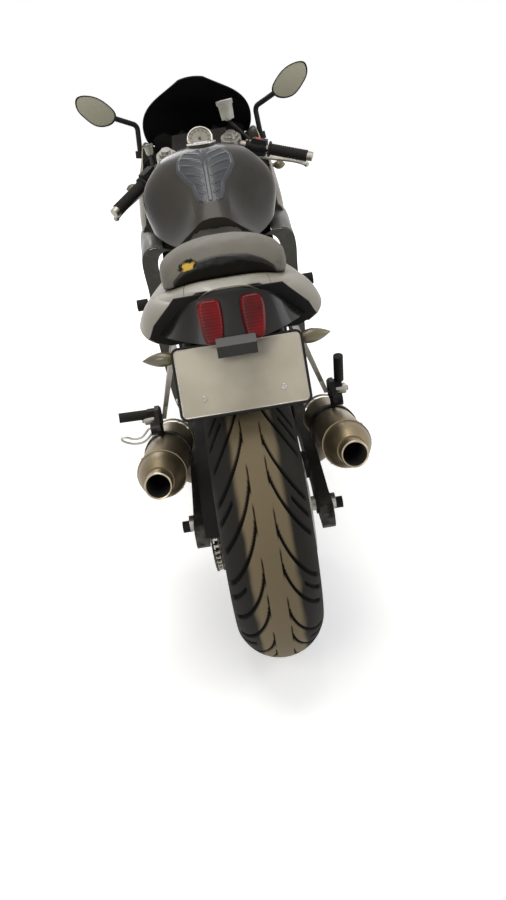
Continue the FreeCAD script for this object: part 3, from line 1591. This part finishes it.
def pillion_pad():
    """The pillion's pad: domed, wider than long, its ends drawn down."""
    rows = (
        (pad_front, 98.0, 858.0), (430.0, 126.0, 875.0), (510.0, 136.0, 883.0),
        (568.0, 126.0, 870.0), (pad_rear, 106.0, 846.0),
    )
    wires = []
    for y, half, top in rows:
        edge = pad_low + (top - pad_low) * 0.62
        wires.append(hoop(y, [[(0, top), (half * 0.6, top - (top - edge) * 0.25), (half, edge)],
                              [(half, edge), (half * 1.02, (edge + pad_low) / 2), (half * 0.97, pad_low)],
                              [(half * 0.97, pad_low), (0, pad_low)]]))
    return loft(wires).cut(tail_envelope(running_gap))


tail_rows = (
    (300.0, 128.0, 760.0, 0.86, 762.0, 712.0),
    (400.0, 156.0, 790.0, 0.84, 756.0, 700.0),
    (500.0, 176.0, 802.0, 0.82, 752.0, 696.0),
    (600.0, 189.0, 816.0, 0.76, 753.0, 700.0),
    (680.0, 182.0, 834.0, 0.66, 750.0, 708.0),
    (750.0, 152.0, 845.0, 0.58, 746.0, 716.0),
    (806.0, 100.0, 850.0, 0.62, 750.0, 728.0),
)
tail_wall = 3.0


def inset_runs(runs, wall):
    """The same section moved inwards by the wall."""
    chain = [runs[0][0]]
    for run in runs:
        chain += run[1:]
    moved = {}
    for k, (x, z) in enumerate(chain):
        before = chain[k - 1] if k else (-chain[1][0], chain[1][1])
        after = chain[k + 1] if k + 1 < len(chain) else (-chain[-2][0], chain[-2][1])
        dx = after[0] - before[0]
        dz = after[1] - before[1]
        size = math.hypot(dx, dz)
        moved[(x, z)] = (x + dz / size * wall if x else 0, z - dx / size * wall)
    return [[moved[point] for point in run] for run in runs]


def tail_runs(half, top, share, edge, low):
    shoulder = (half * share, top - (top - edge) * 0.34)
    return [
        [(0, top), (shoulder[0] * 0.55, top - 3.0), shoulder],
        [shoulder, ((shoulder[0] + half) / 2 + 6.0, (shoulder[1] + edge) / 2 + 6.0), (half, edge)],
        [(half, edge), (half * 0.55, low), (0, low)],
    ]


def tail_envelope(lift=0.0):
    """The tail's outer form as a solid block, for the shell itself and for what sits on it."""
    body = loft([hoop(y, tail_runs(half, top, share, edge, low)) for y, half, top, share, edge, low in tail_rows])
    body.translate(vec(0, 0, lift))
    return body


def tail_body():
    """The whole tail as one shell, before it is split into its centre and two sides."""
    inner = []
    for y, half, top, share, edge, low in tail_rows:
        inner.append(hoop(y, inset_runs(tail_runs(half, top, share, edge, low), tail_wall)))
    first = tail_rows[0][0]
    last = tail_rows[-1][0]
    body = tail_envelope().cut(loft(inner))
    open_half = 150.0
    belly = block(-open_half, open_half, first - overrun, last + overrun, 640.0, tail_open_z)
    under_pad = block(-pad_bay_half, pad_bay_half, first - overrun, pad_bay_rear, tail_open_z, tank_top)
    return body.cut(belly).cut(under_pad).cut(tail_opening())


tail_open_z = 738.0
pad_bay_half = 96.0
pad_bay_rear = 560.0
tail_seam_half = 84.0
opening_top_y = 806.0
opening_top_z = 847.0
opening_low_y = 700.0
opening_low_z = 727.0
lamp_top_y = 804.0
lamp_top_z = 840.0
lamp_low_y = 846.0
lamp_low_z = 740.0


def tail_opening():
    """The cutter behind the tail's open end, whose edge slopes forwards on the way down."""
    reach = 300.0
    return plate([
        (opening_top_y, opening_top_z), (opening_low_y, opening_low_z), (opening_low_y, opening_low_z - reach),
        (opening_top_y + reach, opening_low_z - reach), (opening_top_y + reach, opening_top_z),
    ], -reach, reach)


def lamp_plane_cut():
    """Everything behind the sloping plane that the rear lamps lie in."""
    reach = 300.0
    slope = (lamp_low_y - lamp_top_y) / (lamp_top_z - lamp_low_z)
    return plate([
        (lamp_top_y - slope * reach, lamp_top_z + reach), (lamp_low_y + slope * reach, lamp_low_z - reach),
        (lamp_low_y + reach, lamp_low_z - reach), (lamp_low_y + reach, lamp_top_z + reach),
    ], -reach, reach)


def tail_cowl():
    """The tail's centre and its two sides, with a seam between them."""
    body = tail_body()
    half = tail_seam_half
    front = tail_rows[0][0] - overrun
    rear = lamp_low_y + overrun
    reach = tail_rows[3][1] + overrun
    centre = body.common(block(-half, half, front, rear, undertray_low, tank_top))
    side = body.common(block(half + seam_gap, reach, front, rear, undertray_low - tail_wall * 4, tank_top))
    return Part.makeCompound([centre, side, mirrored(side)])


undertray_low = 690.0


surround_rows = (
    ((59.0, 797.0, 843.0), (36.0, 801.0, 846.0), (0, 803.0, 847.0)),
    ((90.0, 767.0, 812.0), (64.0, 795.0, 820.0), (0, 806.0, 824.0)),
    ((122.0, 736.0, 778.0), (68.0, 811.0, 788.0), (0, 821.0, 792.0)),
    ((150.0, 706.0, 749.0), (70.0, 828.0, 758.0), (0, 842.0, 753.0)),
)
surround_wall = 3.0
chin_half = 37.0
chin_outline = ((832.0, 768.0), (832.0, 736.0), (858.0, 734.0), (866.0, 758.0), (846.0, 768.0))


def surround_skin():
    return mesh_panel([both_ways(list(row)) for row in surround_rows], -surround_wall)


def lamp_surround():
    """The black panel in the tail's open end: its wings sweep forwards, its chin is over the plate."""
    body = surround_skin().cut(tail_body())
    body = max(body.Solids, key=lambda solid: solid.Volume)
    chin = plate(chin_outline, -chin_half, chin_half)
    return fused([body, chin])


def rounded_prism(outline, y0, y1):
    """As front_prism, its outline a closed smooth curve through the points."""
    curve = Part.BSplineCurve()
    curve.interpolate([vec(x, y0, z) for x, z in outline], True)
    return Part.Face(Part.Wire([curve.toShape()])).extrude(vec(0, y1 - y0, 0))


lamp_outline = (
    (18.0, 812.0), (28.0, 827.0), (46.0, 829.0), (61.0, 822.0), (66.0, 804.0), (62.0, 778.0), (52.0, 759.0),
    (36.0, 757.0), (21.0, 763.0), (17.0, 786.0),
)
lamp_proud = 6.0


def tail_lamps():
    """Two upright red lamps on the surround."""
    body = rounded_prism(lamp_outline, opening_low_y, lamp_low_y * 2 - opening_low_y)
    back = lamp_plane_cut()
    back.translate(vec(0, lamp_proud, 0))
    whole = body.cut(back).cut(surround_skin()).cut(plate(chin_outline, -chin_half, chin_half))
    one = max(whole.Solids, key=lambda solid: solid.CenterOfMass.y)
    return both_sides(one)


def undertray():
    """The black tray under the tail, with the stub that the plate bracket hangs from."""
    half = 92.0
    low = undertray_low
    wall_height = 20.0
    front = subframe_line[1][1] - subframe_radius
    rear = 790.0
    tray = block(-half, half, front, rear, low, low + wall_height)
    room = block(-half + tail_wall, half - tail_wall, front + tail_wall, rear - tail_wall, low + tail_wall,
                 low + wall_height + overrun)
    seat_top = subframe_line[1][2] - subframe_radius * 3 / 4 - running_gap
    saddle = block(-half / 2, half / 2, front, front + subframe_radius * 2, low, seat_top)
    up = vec(0, -math.sin(math.radians(plate_tilt)), math.cos(math.radians(plate_tilt)))
    out = vec(0, math.cos(math.radians(plate_tilt)), math.sin(math.radians(plate_tilt)))
    centre = vec(0, plate_y, plate_z) - out * (bracket_depth + running_gap)
    high = centre + up * (plate_height / 2 - bracket_border)
    bottom = centre + up * (plate_height / 16)
    neck = plate([(rear - wall_height, low), (rear - wall_height, low + wall_height * 2), (high.y, high.z),
                  (bottom.y, bottom.z), (rear + wall_height, low - wall_height)], -neck_half, neck_half)
    return fused([tray.cut(room), saddle, neck])


neck_half = 44.0
bracket_depth = 4.0
bracket_border = 5.0


def plate_bracket():
    """The flat holder behind the number plate, with its rounded frame."""
    depth = bracket_depth
    half_w = plate_width / 2 + bracket_border
    half_h = plate_height / 2 + bracket_border
    body = block(-half_w, half_w, -depth, 0, -half_h, half_h)
    body = body.makeFillet(14.0, [e for e in body.Edges if abs(e.tangentAt(e.FirstParameter).y) > 0.9])
    for x in (-plate_hole_spacing / 2, plate_hole_spacing / 2):
        hole = rod(vec(x, -depth - overrun, -plate_height / 4), vec(x, overrun, -plate_height / 4), plate_hole_radius)
        body = body.cut(hole)
    return on_plate_plane(body)


def number_plate():
    body = block(-plate_width / 2, plate_width / 2, 0, plate_thickness, -plate_height / 2, plate_height / 2)
    body = body.makeFillet(9.0, [e for e in body.Edges if abs(e.tangentAt(e.FirstParameter).y) > 0.9])
    for x in (-plate_hole_spacing / 2, plate_hole_spacing / 2):
        hole = rod(vec(x, -overrun, -plate_height / 4), vec(x, overrun * 2, -plate_height / 4), plate_hole_radius)
        body = body.cut(hole)
    return on_plate_plane(body)


def on_plate_plane(body):
    body.rotate(origin, x_axis, plate_tilt)
    body.translate(vec(0, plate_y, plate_z))
    return body


def rear_indicators():
    """Pointed lamp pods on short stalks from the tail's underside."""
    root = vec(neck_half, 800.0, 706.0)
    knee = vec(122.0, 786.0, 724.0)
    tip = vec(184.0, 775.0, 724.0)
    stalk = rod(root, knee, 7.0)
    along = (tip - knee).normalize()
    length = (tip - knee).Length
    across = along.cross(z_axis).normalize()
    radius = 14.0
    spots = [knee, knee + across * radius * 0.6, knee + along * length * 0.3 + across * radius,
             knee + along * length * 0.7 + across * radius * 0.7, tip]
    curve = smooth_edge(spots[1:])
    edges = [Part.LineSegment(spots[0], spots[1]).toShape(), curve, Part.LineSegment(tip, knee).toShape()]
    pod = Part.Face(Part.Wire(edges)).revolve(knee, along, 360)
    return both_sides(fused([stalk, pod]).cut(undertray()))


# Fairing

def mesh_panel(rows, wall):
    return panel([[vec(x, y, z) for x, y, z in row] for row in rows], wall)


def both_ways(half_row):
    """A row that runs from the left edge over the centre line to the right edge."""
    return half_row + [(-x, y, z) for x, y, z in reversed(half_row[:-1])]


nose_rows = (
    ((214.0, -620.0, 905.0), (200.0, -680.0, 955.0), (186.0, -745.0, 985.0), (158.0, -820.0, 958.0),
     (90.0, -885.0, 935.0), (0, -905.0, 930.0)),
    ((226.0, -620.0, 855.0), (215.0, -700.0, 880.0), (190.0, -790.0, 890.0), (150.0, -870.0, 880.0),
     (80.0, -932.0, 868.0), (0, -950.0, 864.0)),
    ((230.0, -620.0, 795.0), (219.0, -700.0, 800.0), (192.0, -790.0, 805.0), (145.0, -868.0, 805.0),
     (75.0, -925.0, 802.0), (0, -942.0, 800.0)),
    ((226.0, -620.0, 738.0), (206.0, -700.0, 735.0), (176.0, -775.0, 738.0), (130.0, -838.0, 744.0),
     (66.0, -885.0, 750.0), (0, -900.0, 752.0)),
)


def nose_skin(wall):
    return mesh_panel([both_ways(list(row)) for row in nose_rows], wall)


headlamp_outline = (
    (24.0, 848.0), (70.0, 862.0), (138.0, 872.0), (158.0, 862.0), (128.0, 816.0), (70.0, 790.0), (30.0, 784.0),
)


def headlamp_cutter(grow):
    centre_x = sum(x for x, z in headlamp_outline) / len(headlamp_outline)
    centre_z = sum(z for x, z in headlamp_outline) / len(headlamp_outline)
    points = []
    for x, z in headlamp_outline:
        reach = math.hypot(x - centre_x, z - centre_z)
        points.append((x + (x - centre_x) / reach * grow, z + (z - centre_z) / reach * grow))
    return front_prism(points, -1000.0, -800.0)


def upper_fairing():
    """The nose and its two cheeks as one curved shell, with an opening for each headlamp."""
    body = nose_skin(panel_wall)
    for cutter in (headlamp_cutter(seam_gap), mirrored(headlamp_cutter(seam_gap))):
        body = body.cut(cutter)
    return body


def headlamps():
    """Two lenses that continue the nose's surface."""
    lens = nose_skin(panel_wall).common(headlamp_cutter(0.0))
    return both_sides(lens)


side_rows = (
    ((214.0, -619.2, 905.0), (212.0, -540.0, 888.0), (209.0, -460.0, 850.0), (206.0, -390.0, 810.0),
     (206.0, -330.0, 784.0)),
    ((229.0, -619.2, 830.0), (229.0, -540.0, 822.0), (226.0, -460.0, 806.0), (221.0, -390.0, 786.0),
     (213.0, -330.0, 776.0)),
    ((228.0, -619.2, 749.0), (230.0, -540.0, 749.0), (229.0, -460.0, 749.0), (225.0, -390.0, 756.0),
     (218.0, -330.0, 768.0)),
)


def side_fairing():
    """One cheek behind the nose, its lower edge trimmed to the panel below."""
    whole = mesh_panel(side_rows, -panel_wall).cut(lower_fairing())
    return max(whole.Solids, key=lambda solid: solid.Volume)


lower_front_y = (-616.0, -616.0, -600.0, -575.0, -530.0, -475.0, -410.0, -345.0)
lower_rear_y = (-10.0, -18.0, -50.0, -80.0, -95.0, -95.0, -88.0, -72.0)
lower_half_widths = (
    (186.0, 227.0, 228.0, 226.0, 222.0, 214.0, 190.0, 128.0),
    (186.0, 228.0, 231.0, 230.0, 226.0, 218.0, 194.0, 129.0),
    (180.0, 226.0, 231.0, 230.0, 227.0, 219.0, 195.0, 130.0),
    (163.0, 216.0, 227.0, 229.0, 226.0, 217.0, 194.0, 131.0),
    (154.0, 209.0, 219.0, 222.0, 220.0, 212.0, 191.0, 132.0),
    (150.0, 204.0, 211.0, 215.0, 214.0, 207.0, 188.0, 132.0),
)
lower_heights = (0.0, 0.0, 665.0, 560.0, 450.0, 350.0, 255.0, 171.0)
lower_lip_drops = (34.0, 34.0, 28.0, 12.0, 5.0, 0.0)
lower_shoulder_drops = (25.0, 25.0, 22.0, 15.0, 12.0, 14.0)
lower_returns = (28.0, 38.0, 44.0, 50.0, 44.0, 36.0, 28.0, 24.0)
return_lap = 1.2
crash_bobbin_y = -135.0
crash_bobbin_z = 592.0


def lower_fairing():
    """One lower side panel: a rounded shoulder, a tall flank and an edge turned in at the rear."""
    rows = []
    last = len(lower_half_widths) - 1
    for k, widths in enumerate(lower_half_widths):
        heights = (tank_bottom - lower_lip_drops[k], tank_bottom - lower_shoulder_drops[k]) + lower_heights[2:]
        row = []
        for x, z, front, rear in zip(widths, heights, lower_front_y, lower_rear_y):
            row.append((x, front + (rear - front) * k / last, z))
        rows.append(row)
    body = mesh_panel(rows, -panel_wall)
    turned_in = []
    for step in (0, 0.5, 1.0):
        turned_in.append(
            [(x - turn * step, y - return_lap, z - turn * step / 3) for (x, y, z), turn in zip(rows[-1], lower_returns)]
        )
    body = fused([body, mesh_panel(turned_in, -panel_wall)])
    hole = disc(engine_half_width, lower_half_widths[0][0] * 2, vec(0, crash_bobbin_y, crash_bobbin_z), 19.0)
    return body.cut(hole)


def belly_pan():
    """The shallow tray that joins the two lower panels under the engine."""
    rows = []
    for y, half, low in ((-335.0, 132.0, 150.0), (-250.0, 137.0, 130.0), (-165.0, 140.0, 122.0), (-78.0, 138.0, 122.0)):
        edge = low + 44.0
        rows.append(both_ways([(half, y, edge), (half * 0.8, y, low + 8.0), (half * 0.4, y, low), (0, y, low - 2.0)]))
    whole = mesh_panel(rows, panel_wall)
    sides = lower_fairing()
    whole = whole.cut(sides).cut(mirrored(sides))
    return max(whole.Solids, key=lambda solid: solid.Volume)


screen_rows = (
    (40.0, -575.0, 1170.0, -569.0, 1165.0),
    (122.0, -645.0, 1137.0, -606.0, 1118.0),
    (172.0, -725.0, 1090.0, -672.0, 1066.0),
    (182.0, -805.0, 1024.0, -722.0, 1008.0),
    (166.0, -878.0, 946.0, -800.0, 968.0),
)
screen_wall = 3.0


def windscreen():
    """The dark screen, domed across and swept back."""
    rows = []
    for half, yc, zc, ye, ze in screen_rows:
        row = []
        for share in (1.0, 0.75, 0.4, 0):
            bow = share * share
            row.append((half * share, yc + (ye - yc) * bow, zc + (ze - zc) * bow))
        rows.append(both_ways(row))
    return mesh_panel(rows, screen_wall)


def cockpit_panel():
    """The black inner panel between the screen's foot, the fairing cheeks and the clocks."""
    rows = []
    for y, half, edge, mid in ((-850.0, 146.0, 915.0, 905.0), (-770.0, 186.0, 925.0, 928.0),
                               (-690.0, 218.0, 905.0, 926.0), (-630.0, 230.0, 875.0, 900.0)):
        rows.append(both_ways([(half, y, edge), (half * 0.7, y, edge), (half * 0.35, y, mid), (0, y, mid)]))
    whole = mesh_panel(rows, -panel_wall).cut(nose_skin(panel_wall))
    return max(whole.Solids, key=lambda solid: solid.Volume)


def instrument():
    """A round clock beside a flat display, in one housing that faces the rider."""
    face_up = vec(0, 0.80, 0.60)
    centre = vec(0, -600.0, 982.0)
    depth = 36.0
    clock = rod(centre - face_up * depth, centre, 42.0)
    bezel = pipe(centre, centre + face_up * 4.0, 42.0, 37.0)
    corners = [vec(x, 0, 0) + centre + vec(0, -0.60, 0.80) * v
               for x, v in ((-96.0, -30.0), (96.0, -30.0), (88.0, 26.0), (-88.0, 26.0))]
    base = Part.Face(Part.makePolygon(corners + corners[:1]))
    box = base.extrude(face_up * -depth)
    foot = rod(centre - face_up * depth * 0.9, vec(0, -640.0, 900.0), 12.0)
    return fused([clock, bezel, box, foot.cut(cockpit_panel())]).Solids[0]


mirror_inner = vec(262.0, -649.0, 1075.0)
mirror_tip = vec(376.0, -619.0, 1150.0)
mirror_depth = 26.0
mirror_shares = ((-0.01, -0.02), (0.02, 0.36), (0.22, 0.73), (0.53, 0.90), (0.78, 0.74), (0.98, 0.22), (0.90, -0.41),
                 (0.64, -0.84), (0.34, -1.00), (0.06, -0.52))
mirror_half_height = 43.0


def mirror_outline(scale, back):
    along = mirror_tip - mirror_inner
    across = vec(-along.z, 0, along.x).normalize()
    facing = along.cross(across).normalize()
    if facing.y < 0:
        facing = facing * -1
    middle = mirror_inner + along * 0.5
    points = []
    for a_share, h_share in mirror_shares:
        at = mirror_inner + along * a_share + across * (h_share * mirror_half_height)
        at = middle + (at - middle) * scale
        points.append(at - facing * back)
    curve = Part.BSplineCurve()
    curve.interpolate(points, True)
    return Part.Wire([curve.toShape()]), facing


def mirror_housing():
    """A leaf-shaped shell, domed at the front, on a bent stalk from the fairing."""
    rim, facing = mirror_outline(1.0, 0.0)
    middle, _ = mirror_outline(0.92, mirror_depth * 0.6)
    nose, _ = mirror_outline(0.55, mirror_depth)
    body = loft([rim, middle, nose])
    recess, _ = mirror_outline(0.93, 0.0)
    pocket = Part.Face(recess).extrude(facing * -4.0)
    body = body.cut(pocket)
    foot = vec(206.0, -712.0, 952.0)
    knee = vec(199.0, -714.0, 1043.0)
    into = mirror_inner + (mirror_tip - mirror_inner) * 0.12 - facing * (mirror_depth * 0.5)
    stalk = bent_rod([foot, knee, into], 22.0, 8.5)
    base = rod(foot + vec(3.0, 0, -12.0), foot + vec(0, 0, 10.0), 15.0)
    mirror = fused([body, stalk, base]).cut(nose_skin(panel_wall))
    return max(mirror.Solids, key=lambda solid: solid.Volume)


def mirror_glass():
    outline, facing = mirror_outline(0.92, 4.0 - running_gap)
    return Part.Face(outline).extrude(facing * 2.0)


def front_indicators():
    root = vec(216.0, -718.0, 850.0)
    tip = vec(276.0, -700.0, 848.0)
    stalk = rod(root, root + (tip - root) * 0.5, 7.0)
    pod_start = root + (tip - root) * 0.4
    along = (tip - root).normalize()
    length = (tip - pod_start).Length
    across = along.cross(z_axis).normalize()
    edges = [
        Part.LineSegment(pod_start, pod_start + across * 10.0).toShape(),
        smooth_edge([pod_start + across * 10.0, pod_start + along * length * 0.4 + across * 15.0, tip]),
        Part.LineSegment(tip, pod_start).toShape(),
    ]
    pod = Part.Face(Part.Wire(edges)).revolve(pod_start, along, 360)
    return both_sides(fused([stalk, pod]).cut(nose_skin(panel_wall)))


def crash_bobbins():
    """A nylon bobbin each side on a stem from the engine, proud of the lower panels."""
    centre = vec(0, crash_bobbin_y, crash_bobbin_z)
    stem_start = cylinder_half_width * 2 / 3
    stem = disc(stem_start, 232.0, centre, 8.0)
    head = disc(230.0, 262.0, centre, 17.0)
    return both_sides(fused([stem, head]))


# Standing the machine up: the lean, the small nose-up or nose-down turn that puts both
# tyres on the floor, and the floor's own height

def turn_about(point, axis, angle):
    return FreeCAD.Placement(origin, FreeCAD.Rotation(axis, angle), point)


steering_turn = turn_about(steering_base, fork_up, steering_rest)


def tyre_bottom(stance, centre, axle, radius, crown):
    """Lowest point of a tyre once the machine stands at the given stance."""
    spot = stance.multVec(centre)
    tilt = stance.Rotation.multVec(axle).z
    return spot.z - (radius - crown) * math.sqrt(1 - tilt * tilt) - crown


def stance_at(pitch):
    return FreeCAD.Placement(origin, FreeCAD.Rotation(x_axis, pitch)).multiply(
        FreeCAD.Placement(origin, FreeCAD.Rotation(y_axis, lean)))


def both_bottoms(pitch):
    stance = stance_at(pitch)
    front = tyre_bottom(stance, steering_turn.multVec(front_axle), steering_turn.Rotation.multVec(x_axis),
                        front_tyre_radius, front_crown_radius)
    rear = tyre_bottom(stance, rear_axle, x_axis, rear_tyre_radius, rear_crown_radius)
    return front, rear


def find_pitch():
    """The turn about x at which both tyres are equally low, found by halving."""
    low = -5.0
    high = 5.0
    for _ in range(60):
        middle = (low + high) / 2
        front, rear = both_bottoms(middle)
        if front < rear:
            high = middle
        else:
            low = middle
    return (low + high) / 2


pitch = find_pitch()
stance = stance_at(pitch)
floor_drop = min(both_bottoms(pitch))
floor_up = stance.inverse().Rotation.multVec(z_axis)


def floor_below(x, y):
    """The point of the floor under a place on the upright machine, along the machine's own z."""
    level = (floor_drop - stance.multVec(vec(x, y, 0)).z) / stance.Rotation.multVec(z_axis).z
    return vec(x, y, level)


stand_foot = floor_below(stand_foot_x, stand_foot_y)
stand_out = (stand_foot - stand_pivot_point()).normalize()
stand_back = vec(0.16, 0.98, -0.06).normalize()
stand_axis = stand_back.cross(stand_out).normalize()


# Every piece: its name, the body it belongs to, and its shape

pieces = [
    ("frame", "chassis", frame()),
    ("subframe", "chassis", subframe()),
    ("engine", "chassis", fused([engine(), stand_mount()])),
    ("output_sprocket", "chassis", Part.makeCompound([sprocket_and_shaft(), front_sprocket_cover()])),
    ("radiator", "chassis", radiator()),
    ("exhaust_pipes", "chassis", both_sides(exhaust_pipes())),
    ("silencer_left", "chassis", silencer()),
    ("silencer_right", "chassis", mirrored(silencer())),
    ("swingarm", "chassis", swingarm()),
    ("rear_axle", "chassis", rear_axle_shaft()),
    ("rear_caliper", "chassis", rear_caliper()),
    ("rear_shock", "chassis", rear_shock()),
    ("drive_chain", "chassis", chain_loop()),
    ("chain_guard", "chassis", chain_guard()),
    ("paddock_bobbins", "chassis", paddock_bobbins()),
    ("rider_footrests", "chassis", rider_footrests()),
    ("pillion_hangers", "chassis", pillion_hangers()),
    ("pillion_brackets", "chassis", both_sides(fused([pillion_bracket(), silencer_clamp()]))),
    ("pillion_pegs", "chassis", Part.makeCompound([pillion_peg_left(), pillion_peg_right()])),
    ("fuel_tank", "chassis", tank()),
    ("rider_seat", "chassis", rider_seat()),
    ("pillion_pad", "chassis", pillion_pad()),
    ("tail_cowl", "chassis", tail_cowl()),
    ("lamp_surround", "chassis", lamp_surround()),
    ("tail_lamps", "chassis", tail_lamps()),
    ("undertray", "chassis", undertray()),
    ("plate_bracket", "chassis", plate_bracket()),
    ("number_plate", "chassis", number_plate()),
    ("indicators", "chassis", Part.makeCompound([front_indicators(), rear_indicators()])),
    ("upper_fairing", "chassis", upper_fairing()),
    ("headlamps", "chassis", headlamps()),
    ("side_fairings", "chassis", both_sides(side_fairing())),
    ("lower_fairings", "chassis", both_sides(lower_fairing())),
    ("belly_pan", "chassis", belly_pan()),
    ("windscreen", "chassis", windscreen()),
    ("cockpit_panel", "chassis", cockpit_panel()),
    ("instrument", "chassis", instrument()),
    ("mirror_housings", "chassis", both_sides(mirror_housing())),
    ("mirror_glass", "chassis", both_sides(mirror_glass())),
    ("crash_bobbins", "chassis", crash_bobbins()),
    ("fork_yokes", "steering", fused([lower_yoke(), upper_yoke()])),
    ("fork_tubes", "steering", both_sides(fork_tube())),
    ("fork_sliders", "steering", both_sides(fork_slider())),
    ("front_calipers", "steering", both_sides(front_caliper())),
    ("front_axle", "steering", front_axle_shaft()),
    ("front_mudguard", "steering", front_mudguard()),
    ("handlebars", "steering", both_sides(fused([clip_on(), bar_weight()]))),
    ("bar_grips", "steering", both_sides(grip())),
    ("bar_controls", "steering", both_sides(fused([switch_housing(), master_cylinder()]))),
    ("hand_levers", "steering", both_sides(lever())),
    ("fluid_reservoirs", "steering", Part.makeCompound([
        fused([reservoir(clutch_pot), reservoir_bracket(clutch_pot)]),
        mirrored(fused([reservoir(brake_pot), reservoir_bracket(brake_pot)]))])),
    ("front_rim", "front_wheel", cast_wheel(front_axle, front_rim_width, front_hub_radius, front_hub_half)),
    ("front_tyre", "front_wheel",
     tyre(front_axle, front_tyre_radius, front_tyre_width, front_crown_radius, front_rim_width)),
    ("front_discs", "front_wheel", front_discs()),
    ("rear_rim", "rear_wheel", cast_wheel(rear_axle, rear_rim_width, rear_hub_radius, rear_hub_half)),
    ("rear_tyre", "rear_wheel",
     tyre(rear_axle, rear_tyre_radius, rear_tyre_width, rear_crown_radius, rear_rim_width)),
    ("rear_disc", "rear_wheel", rear_disc()),
    ("rear_sprocket", "rear_wheel", rear_sprocket()),
    ("side_stand", "side_stand", side_stand()),
]

floor_level = FreeCAD.Placement(vec(0, 0, -floor_drop), FreeCAD.Rotation())
standing = floor_level.multiply(stance)
placed = {}
for name, body, shape in pieces:
    where = standing.multiply(steering_turn) if body in ("steering", "front_wheel") else standing
    shape.Placement = where.multiply(shape.Placement)
    placed[name] = shape

everything = Part.makeCompound(list(placed.values()))
extent = everything.optimalBoundingBox(False, False)
to_centre = vec(-(extent.XMin + extent.XMax) / 2, -(extent.YMin + extent.YMax) / 2, 0)

os.makedirs("parts", exist_ok=True)
for name, shape in placed.items():
    shape.translate(to_centre)
    shape.exportStep("parts/" + name + ".step")
